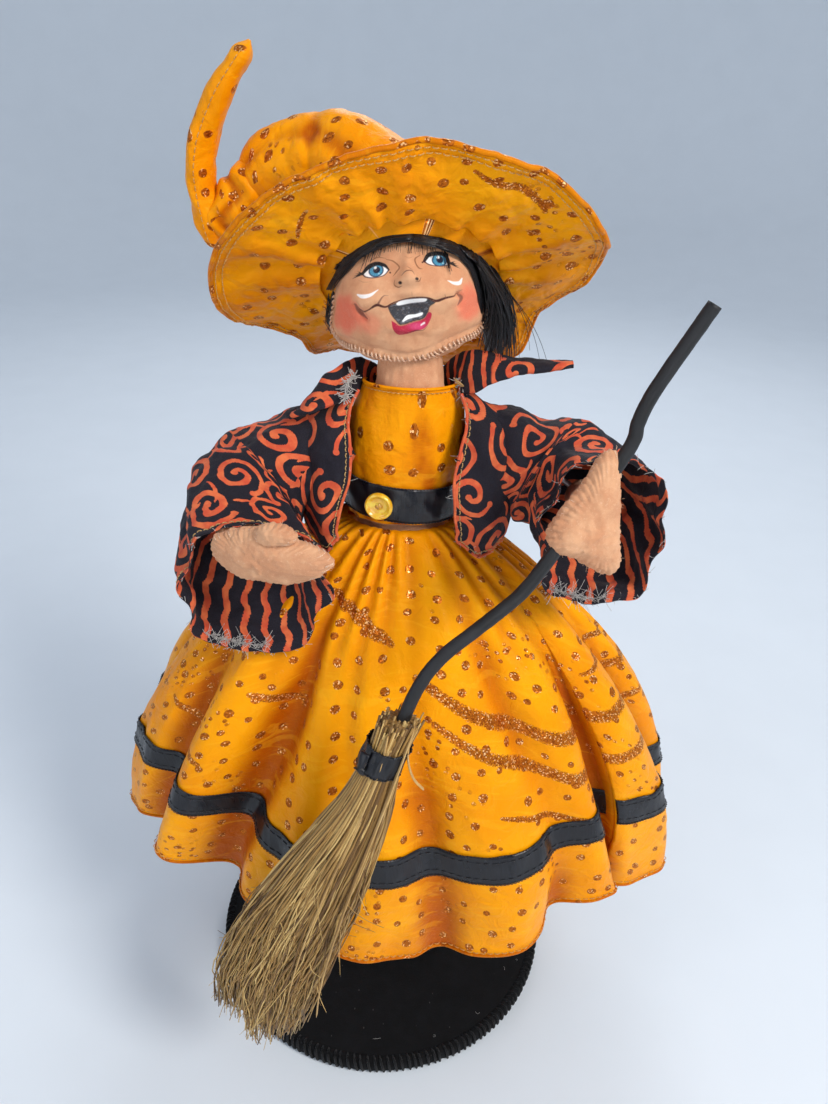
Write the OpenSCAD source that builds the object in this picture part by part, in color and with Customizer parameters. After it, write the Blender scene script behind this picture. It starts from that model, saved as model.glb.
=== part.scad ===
// Witch figure: a stitched felt figure on a wire armature, dressed in a gathered
// dress, a wide-sleeved jacket and a bent hat, holding a straw broom, on a round
// felt-covered stand. Origin: centre of the stand's underside. The figure faces -Y,
// +Z is up, and "right" and "left" are the figure's own (right is -X).

/* [Stand] */
// Diameter of the felt-covered disc
base_d = 114; // [104:1:124]
// Height of the disc with its felt
base_h = 6; // [5:0.5:7]
// Thickness of the felt on the disc
felt_t = 1; // [0.8:0.1:1.5]
// Width of the whip-stitched edge
edge_w = 1.6; // [1:0.1:2.5]

/* [Legs] */
// Distance between the two ankles
ankle_gap = 26; // [22:1:30]
// Radius of the armature wire
wire_r = 0.8; // [0.6:0.1:0.8]

/* [Dress] */
// Width of the skirt at its hem, side to side
skirt_w = 172; // [150:1:176]
// Depth of the skirt at its hem, front to back
skirt_depth = 102; // [90:1:104]
// Mean height of the hem above the table
hem_z = 57; // [50:1:64]
// Number of gathered folds round the skirt
fold_n = 10; // [6:1:14]
// How far each fold stands out at the hem
fold_out = 2.6; // [0:0.1:3]
// Thickness of the outer skirt cloth
skirt_t = 0.9; // [0.6:0.1:1]
// Width of the satin ribbon on the skirt and the waist
ribbon_w = 9.5; // [6:0.5:10]
// Radius of the round waist button
button_r = 3.6; // [2.5:0.1:4.5]

/* [Hat] */
// Radius of the brim
brim_r = 46; // [42:1:47]
// How far the brim's front is turned up
brim_tilt = 44; // [40:1:46]
// How far the brim leans to the figure's right
brim_roll = 8; // [4:1:10]
// Thickness of each of the brim's two cloth layers
brim_t = 0.7; // [0.5:0.1:1]

/* [Broom] */
// Radius of the broom's handle
handle_r = 1.5; // [1.2:0.1:1.7]
// Width of the ribbon tied round the straw
tie_w = 6.4; // [4:0.2:8]

/* [Hidden] */
$fn = 40;

// Clearances
fit_gap = 0.05;          // wire turning in its eye
layer_gap = 0.3;         // between one cloth layer and the next
side_step = 2.3;         // a hinged wire runs this far beside its eye
run_r = wire_r * 0.95;   // radius of a hinged wire beyond its pin

// Colours
black_felt = [0.06, 0.06, 0.07];
skin_felt = [0.93, 0.66, 0.47];
gold_cloth = [0.95, 0.58, 0.06];
print_cloth = [0.12, 0.10, 0.13];
steel = [0.62, 0.63, 0.66];
straw = [0.76, 0.62, 0.34];

// Joint centres
ankle_z = 34;
waist_z = 149;
neck_joint = [3, -5, 203.5];
head_joint = [3, -5, 217];
shoulder_left = [23, -3, 198];
shoulder_right = [-17, -3, 197];
elbow_left = [49, -8, 181];
elbow_right = [-45, -12, 179];
wrist_left = [45, -35, 190];
wrist_right = [-37, -32, 176];
hat_joint = [-43.6, 20, 244];

// Places of single pieces
spine_xy = [3, -5];
head_c = [1.5, -3, 230.5];
brim_c = [2, -4, 232.5];
brim_hole_r = 21.5;
skirt_top_z = 172;
skirt_c = [4, -1];
grip_top = [49.6, -44.4, 208];
grip_low = [33.2, -51.2, 182];

// ---------- vectors and rings ----------

function unit(v) = v / norm(v);
function mix(a, b, t) = a + (b - a) * t;
// Value at x of a line through [x, value] pairs, in rising x
function along(table, x) = x <= table[0][0] ? table[0][1] :
    x >= table[len(table) - 1][0] ? table[len(table) - 1][1] :
    let (i = max([for (k = [0:len(table) - 2]) if (table[k][0] <= x) k]))
    mix(table[i][1], table[i + 1][1], (x - table[i][0]) / (table[i + 1][0] - table[i][0]));
// Ring of n points about c, across direction d, with half axes a and b
function ring(c, d, a, b, n, up = [0, 0, 1]) =
    let (e = unit(d), p = unit(cross(up, e)), q = cross(e, p))
    [for (i = [0:n - 1]) c + p * a * cos(360 * i / n) + q * b * sin(360 * i / n)];
// Level ring: an ellipse at height z
function level(c, a, b, z, n) =
    [for (i = [0:n - 1]) [c.x + a * cos(360 * i / n), c.y + b * sin(360 * i / n), z]];
// Rings along a path of [centre, half width, half height]
function path_rings(path, n, up = [0, 0, 1]) =
    [for (i = [0:len(path) - 1])
        let (before = path[max(i - 1, 0)][0], after = path[min(i + 1, len(path) - 1)][0])
        ring(path[i][0], after - before, path[i][1], path[i][2], n, up)];

function mean(points) = [for (k = [0:2]) [for (p = points) p[k]] * [for (p = points) 1] / len(points)];

// ---------- general solids ----------

// Closed solid through rings of equal length, with a fan over each end
module loft(rings) {
    n = len(rings[0]);
    m = len(rings);
    points = concat([for (r = rings) each r], [mean(rings[0]), mean(rings[m - 1])]);
    start_fan = [for (j = [0:n - 1]) [m * n, j, (j + 1) % n]];
    end_fan = [for (j = [0:n - 1]) [m * n + 1, (m - 1) * n + (j + 1) % n, (m - 1) * n + j]];
    sides = [for (i = [0:m - 2], j = [0:n - 1])
        let (a = i * n + j, b = i * n + (j + 1) % n)
        each [[a, a + n, b + n], [a, b + n, b]]];
    polyhedron(points = points,
        faces = concat(start_fan, end_fan, sides));
}

// Closed sheet between two grids of points; ring = true joins the last column to the first
module sheet(outer, inner, ring = true) {
    n = len(outer[0]);
    m = len(outer);
    count = m * n;
    last = ring ? n - 1 : n - 2;
    points = concat([for (r = outer) each r], [for (r = inner) each r]);
    walls = [for (i = [0:m - 2], j = [0:last])
        let (a = i * n + j, b = i * n + (j + 1) % n, c = a + count, d = b + count)
        each [[a, a + n, b + n], [a, b + n, b], [c, d + n, c + n], [c, d, d + n]]];
    ends = [for (j = [0:last])
        let (a = j, b = (j + 1) % n, t = (m - 1) * n)
        each [[a, b, b + count], [a, b + count, a + count],
            [t + b, t + a, t + a + count], [t + b, t + a + count, t + b + count]]];
    edges = ring ? [] : [for (i = [0:m - 2])
        let (a = i * n, b = i * n + n - 1)
        each [[a + n, a, a + count], [a + n, a + count, a + n + count],
            [b, b + n, b + n + count], [b, b + n + count, b + count]]];
    polyhedron(points = points, faces = concat(walls, ends, edges));
}

// Rod of radius r from a to b
module rod(a, b, r) {
    d = b - a;
    translate(a)
        rotate([0, acos(d.z / norm(d)), atan2(d.y, d.x)])
            cylinder(h = norm(d), r = r);
}

// Rod of radius r, centred at c, of length h along axis
module pin(c, axis, r, h) {
    rod(c - unit(axis) * h / 2, c + unit(axis) * h / 2, r);
}

// Wire from an eye at c to the point b; the eye's hole runs along axis
module eye_wire(c, axis, b) {
    difference() {
        union() {
            pin(c, axis, wire_r * 2.1, 2);
            rod(c, b, wire_r);
        }
        pin(c, axis, wire_r + fit_gap, 3);
    }
}

// Wire with its end bent into a pin at c along axis, running beside the eye to b
module pin_wire(c, axis, b) {
    start = c + unit(axis) * side_step;
    rod(c - unit(axis) * 2, start + unit(axis) * wire_r, wire_r);
    rod(start, b, run_r);
}

// ---------- stand ----------

board_r = base_d / 2 - edge_w;

module base_board() {
    color([0.55, 0.42, 0.28])
        difference() {
            translate([0, 0, felt_t])
                cylinder(h = base_h - 2 * felt_t, r = board_r, $fn = 96);
            for (side = [-1, 1])
                translate([side * ankle_gap / 2, 0, felt_t + 1])
                    cylinder(h = base_h, r = wire_r);
        }
}

module base_felt_top() {
    color(black_felt)
        difference() {
            translate([0, 0, base_h - felt_t])
                cylinder(h = felt_t, r = board_r, $fn = 96);
            for (side = [-1, 1])
                translate([side * ankle_gap / 2, 0, 0])
                    cylinder(h = base_h + 1, r = wire_r);
        }
}

module base_felt_bottom() {
    color(black_felt)
        cylinder(h = felt_t, r = board_r, $fn = 96);
}

module base_edge_stitch() {
    color([0.09, 0.09, 0.10])
        rotate_extrude($fn = 96)
            polygon([[board_r, 0], [board_r + edge_w * 0.6, 0],
                [board_r + edge_w, edge_w * 0.6],
                [board_r + edge_w, base_h - edge_w * 0.6],
                [board_r + edge_w * 0.6, base_h], [board_r, base_h]]);
}

// ---------- feet and legs ----------

function foot(side) = [side * ankle_gap / 2, 0, 0];
function ankle(side) = foot(side) + [0, 0, ankle_z];
leg_low = 38;
leg_high = 108;

module boot(side) {
    color(black_felt)
        difference() {
            hull() {
                translate(foot(side) + [side * 3, -13, base_h + 4])
                    cylinder(h = 4, r = 4, $fn = 32);
                translate(foot(side) + [side * 3, -13, base_h])
                    cylinder(h = 4, r = 5, $fn = 32);
                translate(foot(side) + [0, 2, base_h])
                    cylinder(h = 10, r = 5.5, $fn = 32);
                translate(foot(side) + [0, 0, 24])
                    cylinder(h = 6, r = 5, $fn = 32);
            }
            rod(foot(side), foot(side) + [0, 0, 40], wire_r);
        }
}

module foot_wire(side) {
    color(steel)
        difference() {
            union() {
                pin(ankle(side), [1, 0, 0], wire_r * 2.1, 2);
                rod(foot(side) + [0, 0, felt_t + 1], ankle(side), wire_r);
            }
            pin(ankle(side), [1, 0, 0], wire_r + fit_gap, 3);
        }
}

module leg_wire(side) {
    color(steel)
        pin_wire(ankle(side), [side, 0, 0],
            ankle(side) + [side * side_step, 0, leg_high - ankle_z + 12]);
}

module leg(side) {
    x = foot(side).x + side * side_step;
    color([0.16, 0.14, 0.15])
        difference() {
            translate([x, 0, leg_low])
                cylinder(h = leg_high - leg_low, r1 = 4.2, r2 = 6.4);
            rod([x, 0, leg_low - 1], [x, 0, leg_high + 1], run_r);
        }
}

module boot_left() boot(1);
module boot_right() boot(-1);
module foot_wire_left() foot_wire(1);
module foot_wire_right() foot_wire(-1);
module leg_wire_left() leg_wire(1);
module leg_wire_right() leg_wire(-1);
module leg_left() leg(1);
module leg_right() leg(-1);

module hips() {
    rings = [for (s = [[leg_high + 0.2, 19, 8], [leg_high + 4, 23, 10.5], [122, 23, 11.5],
        [136, 17, 11], [waist_z - 1, 12.5, 9.5]])
        level([mix(0, spine_xy.x, (s[0] - leg_high) / (waist_z - leg_high)), -3], s[1], s[2],
            s[0], 28)];
    color(skin_felt)
        difference() {
            loft(rings);
            for (side = [-1, 1])
                rod(ankle(side) + [side * side_step, 0, 60],
                    ankle(side) + [side * side_step, 0, leg_high - ankle_z + 12], run_r);
            rod([spine_xy.x, spine_xy.y, waist_z - 22], [spine_xy.x, spine_xy.y, waist_z + 2],
                wire_r + fit_gap);
        }
}

// ---------- trunk ----------

// Centre and half axes of the stuffed trunk by height
trunk_x = [[waist_z, 2.5], [178, 1.6], [196, 2.6], [204, 3]];
trunk_y = [[waist_z, -3.4], [178, -5], [196, -5], [204, -5.5]];
trunk_a = [[waist_z, 12.5], [165, 12.6], [178, 13], [190, 13.6], [197, 13], [201, 10.6], [204, 8]];
trunk_b = [[waist_z, 9.5], [165, 9.6], [178, 10], [190, 10.6], [197, 9.4], [201, 8.2], [204, 7]];
trunk_top = 203;

// Point of the trunk's surface at angle a and height z, moved out by off
function trunk_point(a, z, off) = [
    along(trunk_x, z) + (along(trunk_a, z) + off) * cos(a),
    along(trunk_y, z) + (along(trunk_b, z) + off) * sin(a), z];
function trunk_ring(z, off, n = 32) = [for (i = [0:n - 1]) trunk_point(360 * i / n, z, off)];
trunk_levels = [waist_z + 0.5, 165, 178, 190, 197, 201, trunk_top];

module torso() {
    color(skin_felt)
        difference() {
            loft([for (z = trunk_levels) trunk_ring(z, 0)]);
            rod([spine_xy.x, spine_xy.y, waist_z - 1], neck_joint, wire_r);
            rod(shoulder_right, shoulder_left, wire_r);
        }
}

module spine_wire() {
    color(steel)
        rod([spine_xy.x, spine_xy.y, waist_z - 20], neck_joint + [0, 0, 9.5], wire_r);
}

// Cross wire of the shoulders, with an eye at each end
module shoulder_wire() {
    color(steel)
        difference() {
            union() {
                rod(shoulder_right, shoulder_left, wire_r);
                for (c = [shoulder_right, shoulder_left])
                    pin(c, [0, 1, 0], wire_r * 2.1, 2);
            }
            for (c = [shoulder_right, shoulder_left])
                pin(c, [0, 1, 0], wire_r + fit_gap, 3);
        }
}

// Holes in the clothes for the shoulder wire
module arm_openings() {
    rod(shoulder_right, shoulder_left, wire_r + layer_gap);
}

bodice_levels = [173.4, 184, 190, 197, 201, 203.4];

module bodice() {
    color(gold_cloth)
        difference() {
            sheet([for (z = bodice_levels) trunk_ring(z, layer_gap + 0.8)],
                [for (z = bodice_levels) trunk_ring(z, layer_gap)]);
            arm_openings();
        }
}

// ---------- skirt ----------

skirt_n = 48;
// How far the hem is lifted: a bump of height h about angle c, narrow where n is large
function lifted(a, c, h, n) = h * pow(max(0, cos(a - c)), n);
// Lift of the hem at angle a: up on the right side and front, down in front, and up in
// the notch beside the left front fold
function hem_lift(a) = lifted(a, 190, 9, 4) + lifted(a, 222, 10, 10)
    - lifted(a, 273, 7, 8) + lifted(a, 313, 10, 40);
// How far down the skirt's spread has come, from 0 at the waist to 1 at the hem
function spread(t) = sin(90 * pow(t, 0.8));
function fold(a) = cos(fold_n * a + 35 * sin(a));
// Point of the skirt's surface at angle a and share t of the way down, moved out by off
function skirt_point(a, t, off) =
    let (s = spread(t),
        cx = mix(along(trunk_x, skirt_top_z), skirt_c.x, s),
        cy = mix(along(trunk_y, skirt_top_z), skirt_c.y, s),
        rx = mix(along(trunk_a, skirt_top_z) + 1.6, skirt_w / 2, s),
        ry = mix(along(trunk_b, skirt_top_z) + 1.6, skirt_depth / 2, s),
        out = off + fold_out * t * fold(a))
    [cx + (rx + out) * cos(a), cy + (ry + out) * sin(a),
        mix(skirt_top_z, hem_z - 3 * cos(a), t) + hem_lift(a) * t * t];
function skirt_ring(t, off) =
    [for (i = [0:skirt_n - 1]) skirt_point(360 * i / skirt_n, t, off)];
ribbon_low = 0.76;
ribbon_high = ribbon_low - ribbon_w / (skirt_top_z - hem_z) * 0.93;
skirt_levels = [1, 0.88, ribbon_low, ribbon_high, 0.56, 0.43, 0.3, 0.17, 0.07, 0];
lining_levels = [0.96, ribbon_high, 0.43, 0.17, 0.07];

module skirt() {
    color(gold_cloth)
        sheet([for (t = skirt_levels) skirt_ring(t, 0)],
            [for (t = skirt_levels) skirt_ring(t, -skirt_t)]);
}

module underskirt() {
    color([0.90, 0.50, 0.05])
        sheet([for (t = lining_levels) skirt_ring(t, -skirt_t - 0.7)],
            [for (t = lining_levels) skirt_ring(t, -skirt_t - 1.4)]);
}

module skirt_ribbon() {
    color([0.03, 0.03, 0.04])
        sheet([for (t = [ribbon_low, ribbon_high]) skirt_ring(t, 0.5)],
            [for (t = [ribbon_low, ribbon_high]) skirt_ring(t, 0.1)]);
}

belt_z = 179.6;
function belt_ring(edge, off) = [for (i = [0:31])
    let (p = trunk_point(360 * i / 32, belt_z, off))
    [p.x, p.y, belt_z + edge * ribbon_w / 2 - 0.08 * p.x]];

module waist_ribbon() {
    color([0.03, 0.03, 0.04])
        sheet([for (e = [-1, 1]) belt_ring(e, 2.3)], [for (e = [-1, 1]) belt_ring(e, 1.8)]);
}

module waist_button() {
    color([0.95, 0.75, 0.15, 0.8])
        translate([-3.6, -18.1, 180.0])
            rotate([90, 0, -12])
                rotate_extrude($fn = 48)
                    polygon([[0, 0], [button_r, 0], [button_r, 1], [button_r - 0.6, 1.6],
                        [button_r - 1.2, 1.2], [0, 1.2]]);
}

// ---------- jacket ----------

// The jacket hangs further from the trunk towards its lower edge
jacket_off = [[169.5, 8.6], [174, 6.0], [180, 3.7], [190, 2.8], [203, 2.0]];
jacket_levels = [169.5, 174, 180, 190, 197, 201, 202.8];
function jacket_grid(a0, a1, n, out) = [for (z = jacket_levels)
    [for (i = [0:n]) trunk_point(mix(a0, a1, i / n), z, along(jacket_off, z) + out)]];

module jacket_panel(a0, a1, n) {
    color(print_cloth)
        difference() {
            sheet(jacket_grid(a0, a1, n, 0.9), jacket_grid(a0, a1, n, 0), ring = false);
            arm_openings();
        }
}

module jacket_back() jacket_panel(8, 172, 18);
module jacket_front_right() jacket_panel(172.5, 230, 7);
module jacket_front_left() jacket_panel(310, 367.5, 7);

// Turned-up collar end: a flat twisted strip
module collar_left() {
    path = [[[12.5, 0.5, 206.5], 1.8, 0.9], [[17, -4.5, 208.5], 2.6, 1.0],
        [[25, -7, 211.5], 3.2, 1.3], [[34, -9, 214.5], 3.0, 1.2], [[42, -11, 216], 1.6, 0.7]];
    color(print_cloth)
        loft(path_rings(path, 14));
}

module collar_right() {
    path = [[[-4, 2, 206.5], 1.8, 0.9], [[-9.5, -4, 207.5], 2.6, 1.0],
        [[-12.5, -10.5, 208], 3.0, 1.0], [[-13, -16.5, 206.5], 2.0, 0.8]];
    color(print_cloth)
        loft(path_rings(path, 14));
}

// ---------- neck and head ----------

neck_r = 6.2;
ball_r = 7;

module neck() {
    color(skin_felt)
        difference() {
            union() {
                translate([neck_joint.x, neck_joint.y, neck_joint.z])
                    cylinder(h = head_joint.z - neck_joint.z, r = neck_r);
                translate(head_joint)
                    sphere(r = ball_r);
            }
            translate([neck_joint.x, neck_joint.y, 190])
                cylinder(h = 23.5, r = wire_r + fit_gap);
            pin(head_joint, [1, 0, 0], wire_r + fit_gap, 20);
        }
}

// Half axes of the head by height above its centre: wide jowls below, domed above
head_a = [[-17, 4], [-16, 9], [-13, 14], [-7, 17.6], [0, 17.4], [7, 15.8], [12, 12.6], [16, 7], [17.5, 3]];
head_b = [[-17, 4], [-16, 8], [-13, 11.6], [-7, 14.6], [0, 15.6], [7, 14.8], [12, 12], [16, 6.6], [17.5, 3]];
head_levels = [for (row = head_a) row[0]];
function head_point(a, h, off) = [head_c.x + (along(head_a, h) + off) * cos(a),
    head_c.y + (along(head_b, h) + off) * sin(a), head_c.z + h];
// Half of the head, from angle a0 through 180 degrees, closed by a flat seam face
function head_half(a0, h) = [for (i = [0:14]) head_point(a0 + 180 * i / 14, h, 0)];

module head_half_solid(a0) {
    difference() {
        loft([for (h = head_levels) head_half(a0, h)]);
        translate(head_joint)
            sphere(r = ball_r + 0.4);
        rod(head_joint, head_joint - [0, 0, 12], ball_r + 0.4);
        pin(head_joint, [1, 0, 0], wire_r, 19);
    }
}

module head_front() {
    color(skin_felt)
        head_half_solid(180);
}

module head_back() {
    color(skin_felt)
        head_half_solid(0);
}

module head_pin() {
    color(steel)
        pin(head_joint, [1, 0, 0], wire_r, 19);
}

hair_levels = [-9, -4, 1, 5];
function hair_grid(off) = [for (h = hair_levels)
    [for (i = [0:22]) head_point(mix(-38, 218, i / 22), h, off)]];

module hair() {
    color([0.03, 0.03, 0.035])
        sheet(hair_grid(1.75), hair_grid(0.95), ring = false);
}

// ---------- hat ----------

// From the brim's own frame (x to the left, y to the back, z out of its top) to the row's
function hat_frame(p) =
    let (t = brim_tilt, r = brim_roll,
        y1 = p.y * cos(t) + p.z * sin(t), z1 = -p.y * sin(t) + p.z * cos(t))
    brim_c + [p.x * cos(r) - z1 * sin(r), y1, p.x * sin(r) + z1 * cos(r)];
hat_up = hat_frame([0, 0, 1]) - brim_c;
brim_steps = [0, 0.33, 0.67, 1];
// Height of the brim above its plane: a slight dish with a soft wave at the edge
function brim_lift(s, a) = s * s * (2.0 * pow(sin(a), 2) + 1.0 * sin(3 * a + 40));
function brim_grid(off) = [for (s = brim_steps)
    [for (i = [0:39])
        let (a = 9 * i, r = mix(brim_hole_r, brim_r - 2 * pow(sin(a), 2), s))
        hat_frame([r * cos(a), r * sin(a), brim_lift(s, a) + off])]];

module hat_brim_top() {
    color(gold_cloth)
        sheet(brim_grid(0), brim_grid(brim_t));
}

module hat_brim_lining() {
    color([0.92, 0.54, 0.06])
        sheet(brim_grid(-brim_t), brim_grid(0));
}

// Crown path: [centre, direction, radius]
crown_path = [
    [hat_frame([0, 0, 1.2]), hat_up, 22.2],
    [hat_frame([0, 0, 5]), hat_up, 21.5],
    [[0, 7.5, 246], [-0.25, 0.62, 0.75], 18.2],
    [[-7.5, 13.5, 253.5], [-0.6, 0.45, 0.6], 14.6],
    [[-18.5, 17.5, 257.5], [-0.92, 0.2, 0.2], 11.4],
    [[-30, 19.5, 254.5], [-0.94, 0.05, -0.3], 8.8],
    [[-40, 20, 247.8], [-0.92, 0, -0.4], 6.2]];
crown_hollow = [
    [hat_frame([0, 0, 18.2]), hat_up, 5],
    [hat_frame([0, 0, 16.4]), hat_up, 11.5],
    [hat_frame([0, 0, 11.5]), hat_up, 16.8],
    [hat_frame([0, 0, 6]), hat_up, 20.2],
    [hat_frame([0, 0, 1.2]), hat_up, 21.3]];
function crown_rings(path) = [for (s = path) ring(s[0], s[1], s[2], s[2], 28, [0, 1, 0])];

module hat_crown() {
    color(gold_cloth)
        difference() {
            loft(concat(crown_rings(crown_hollow), crown_rings(crown_path)));
            pin(hat_joint, [0, 1, 0], 2.3, 9);
            rod(hat_joint, [-30, 20, 254], wire_r);
        }
}

module hat_crown_wire() {
    color(steel)
        eye_wire(hat_joint, [0, 1, 0], [-30, 20, 254]);
}

tip_path = [[[-49.6, 20, 236.4], 2.6, 2.6], [[-49.8, 20, 239], 4.8, 4.8],
    [[-50.6, 20, 245], 5.0, 5.0], [[-51.2, 19, 252], 4.4, 4.4], [[-49, 17, 261], 3.7, 3.7],
    [[-44, 14, 270], 2.9, 2.9], [[-38.5, 12, 277.5], 2.2, 2.2], [[-36.5, 11.5, 280], 1.4, 1.4]];

module hat_tip() {
    color(gold_cloth)
        difference() {
            loft(path_rings(tip_path, 20, [0, 1, 0]));
            pin(hat_joint, [0, 1, 0], 2.3, 9);
            rod(hat_joint + [0, side_step, 0], [-50.8, 21, 248], run_r);
        }
}

module hat_tip_wire() {
    color(steel)
        pin_wire(hat_joint, [0, 1, 0], [-50.8, 21, 248]);
}

// ---------- arms ----------

arm_r = 4.4;

// Felt tube of an arm between two joints, kept off by start and stop
module arm_tube(a, b, start, stop, side_a, side_b) {
    d = unit(b - a);
    first = a + d * start;
    last = b - d * stop;
    difference() {
        rod(first, last, arm_r);
        rod(side_a, side_b, run_r);
    }
}

// Loose cloth tube about the line from a to b, between distances s0 and s1
module sleeve_tube(a, b, s0, s1, r0, r1, drop) {
    d = unit(b - a);
    steps = [0, 0.5, 1];
    outer = [for (s = steps) ring(a + d * mix(s0, s1, s) - [0, 0, drop * s], d,
        mix(r0, r1, s), mix(r0, r1, s), 24)];
    inner = [for (s = steps) ring(a + d * mix(s0, s1, s) - [0, 0, drop * s], d,
        mix(r0, r1, s) - 0.9, mix(r0, r1, s) - 0.9, 24)];
    sheet(outer, inner);
}

elbow_axis_left = [1, 0, 0];
elbow_axis_right = [0, 0, -1];

module upper_arm_left() {
    color(skin_felt)
        arm_tube(shoulder_left, elbow_left, 4.5, 6.5,
            shoulder_left + [0, -side_step, 0], elbow_left);
}

module upper_arm_wire_left() {
    color(steel)
        arm_wire(shoulder_left, elbow_left, elbow_axis_left);
}

module upper_arm_right() {
    color(skin_felt)
        arm_tube(shoulder_right, elbow_right, 4.5, 6.5,
            shoulder_right + [0, -side_step, 0], elbow_right);
}

module upper_arm_wire_right() {
    color(steel)
        arm_wire(shoulder_right, elbow_right, elbow_axis_right);
}

// Wire with a pin along Y at the shoulder and an eye along axis at the elbow
module arm_wire(shoulder, elbow, axis) {
    start = shoulder - [0, side_step, 0];
    difference() {
        union() {
            rod(shoulder + [0, 2, 0], start - [0, wire_r, 0], wire_r);
            rod(start, elbow, run_r);
            pin(elbow, axis, wire_r * 2.1, 2);
        }
        pin(elbow, axis, wire_r + fit_gap, 6);
    }
}

module forearm_left() {
    color(skin_felt)
        arm_tube(elbow_left, wrist_left, 6.5, 0, elbow_left + [side_step, 0, 0], wrist_left);
}

module forearm_wire_left() {
    color(steel)
        pin_wire(elbow_left, elbow_axis_left, wrist_left);
}

module forearm_right() {
    color(skin_felt)
        arm_tube(elbow_right, wrist_right, 6.5, 0, elbow_right - [0, 0, side_step], wrist_right);
}

module forearm_wire_right() {
    color(steel)
        pin_wire(elbow_right, elbow_axis_right, wrist_right);
}

module sleeve_upper_left() {
    color(print_cloth)
        sleeve_tube(shoulder_left, elbow_left, 8, 14.8, 10.5, 11.5, 0);
}

module sleeve_upper_right() {
    color(print_cloth)
        sleeve_tube(shoulder_right, elbow_right, 8, 18.5, 10.5, 11.5, 0);
}

module sleeve_lower_left() {
    color(print_cloth)
        sleeve_tube(elbow_left, wrist_left, 16, 29, 13, 16.5, 6);
}

module sleeve_lower_right() {
    color(print_cloth)
        sleeve_tube(elbow_right, wrist_right, 13.5, 25.5, 13.5, 17, 4);
}

// Mitten gripping the broom: the handle runs through a round hole
module hand_left() {
    color(skin_felt)
        difference() {
            hull() {
                translate([46.5, -44, 206])
                    sphere(r = 2.8, $fn = 32);
                translate([38.5, -47, 190.5])
                    sphere(r = 4.4, $fn = 32);
                translate([49.5, -43, 186])
                    sphere(r = 4.2, $fn = 32);
                translate([44.8, -39, 190])
                    sphere(r = 3.6, $fn = 32);
            }
            rod(grip_low, grip_top, handle_r + fit_gap);
        }
}

module hand_right() {
    path = [[[-42.4, -36.2, 176], 2.5, 3.5], [[-38, -38, 176.4], 4.0, 6.0],
        [[-30, -41, 177.4], 4.2, 6.6], [[-22, -44, 178.8], 3.8, 6.2],
        [[-16, -46.5, 180], 3.0, 4.6], [[-12.4, -48, 180.8], 1.6, 2.4]];
    color(skin_felt)
        loft(path_rings(path, 20));
}

// ---------- broom ----------

grip_run = unit(grip_low - grip_top);
// Bent wire above and below the straight grip, as [centre, half width, half height]
handle_upper = [for (c = [grip_top + grip_run * 1.5, grip_top, [50.4, -44.2, 212.5],
    [52, -44.4, 218.5], [61, -45, 238]]) [c, handle_r * 0.97, handle_r * 0.97]];
handle_lower = [for (c = [grip_low - grip_run * 1.5, grip_low, [28.5, -53.4, 176.2],
    [20, -56.8, 169.5], [12, -59.6, 163.5], [7.2, -61.2, 156], [-2.5, -64.6, 126]])
    [c, handle_r * 0.97, handle_r * 0.97]];

module broom_handle() {
    color([0.10, 0.10, 0.11])
        union() {
            rod(grip_low, grip_top, handle_r);
            loft(path_rings(handle_upper, 16, [0, 1, 0]));
            loft(path_rings(handle_lower, 16, [0, 1, 0]));
        }
}

// Straw bundle by height: [height, centre x, centre y, half width, half depth]
straw_rows = [[38, -27, -67, 11, 7], [52, -28.5, -67, 14, 8], [68, -27.5, -67, 16, 8.2],
    [90, -20.5, -66.5, 17, 8], [110, -11.5, -65.8, 12.5, 7], [126, -4, -64.8, 7.5, 5.8],
    [136, -0.8, -64, 4.6, 4.6], [142, 1.4, -63.4, 4.4, 4.4], [148, 3.4, -62.6, 4.8, 4.8]];
function straw_ring(k, off) = level([straw_rows[k][1], straw_rows[k][2]],
    straw_rows[k][3] + off, straw_rows[k][4] + off, straw_rows[k][0], 28);

module broom_straw() {
    color(straw)
        difference() {
            loft([for (k = [0:len(straw_rows) - 1]) straw_ring(k, 0)]);
            rod(handle_lower[5][0], handle_lower[6][0], handle_r);
        }
}

module broom_tie() {
    middle_z = 139;
    c = [0.3, -63.7];
    color([0.03, 0.03, 0.04])
        sheet([for (e = [-1, 1]) level(c + [0.36, 0.1] * e * tie_w / 2, 6.4, 6.2,
                middle_z + e * tie_w / 2, 28)],
            [for (e = [-1, 1]) level(c + [0.36, 0.1] * e * tie_w / 2, 5.9, 5.7,
                middle_z + e * tie_w / 2, 28)]);
}

// Flat splints lying along the front of the straw, below the tie
module broom_splints() {
    color([0.80, 0.66, 0.42])
        for (k = [0, 1])
            hull() {
                translate([3 - 4 * k, -71.3, 131])
                    cube([2.2, 0.6, 1]);
                translate([-9 - 8 * k, -75.6, 84])
                    cube([2.2, 0.6, 1]);
            }
}

base_board();
base_felt_top();
base_felt_bottom();
base_edge_stitch();
boot_left();
boot_right();
foot_wire_left();
foot_wire_right();
leg_left();
leg_right();
leg_wire_left();
leg_wire_right();
hips();
torso();
spine_wire();
shoulder_wire();
bodice();
skirt();
underskirt();
skirt_ribbon();
waist_ribbon();
waist_button();
jacket_back();
jacket_front_left();
jacket_front_right();
collar_left();
collar_right();
neck();
head_front();
head_back();
head_pin();
hair();
hat_brim_top();
hat_brim_lining();
hat_crown();
hat_crown_wire();
hat_tip();
hat_tip_wire();
upper_arm_left();
upper_arm_wire_left();
sleeve_upper_left();
forearm_left();
forearm_wire_left();
hand_left();
sleeve_lower_left();
upper_arm_right();
upper_arm_wire_right();
sleeve_upper_right();
forearm_right();
forearm_wire_right();
hand_right();
sleeve_lower_right();
broom_handle();
broom_straw();
broom_splints();
broom_tie();
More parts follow.
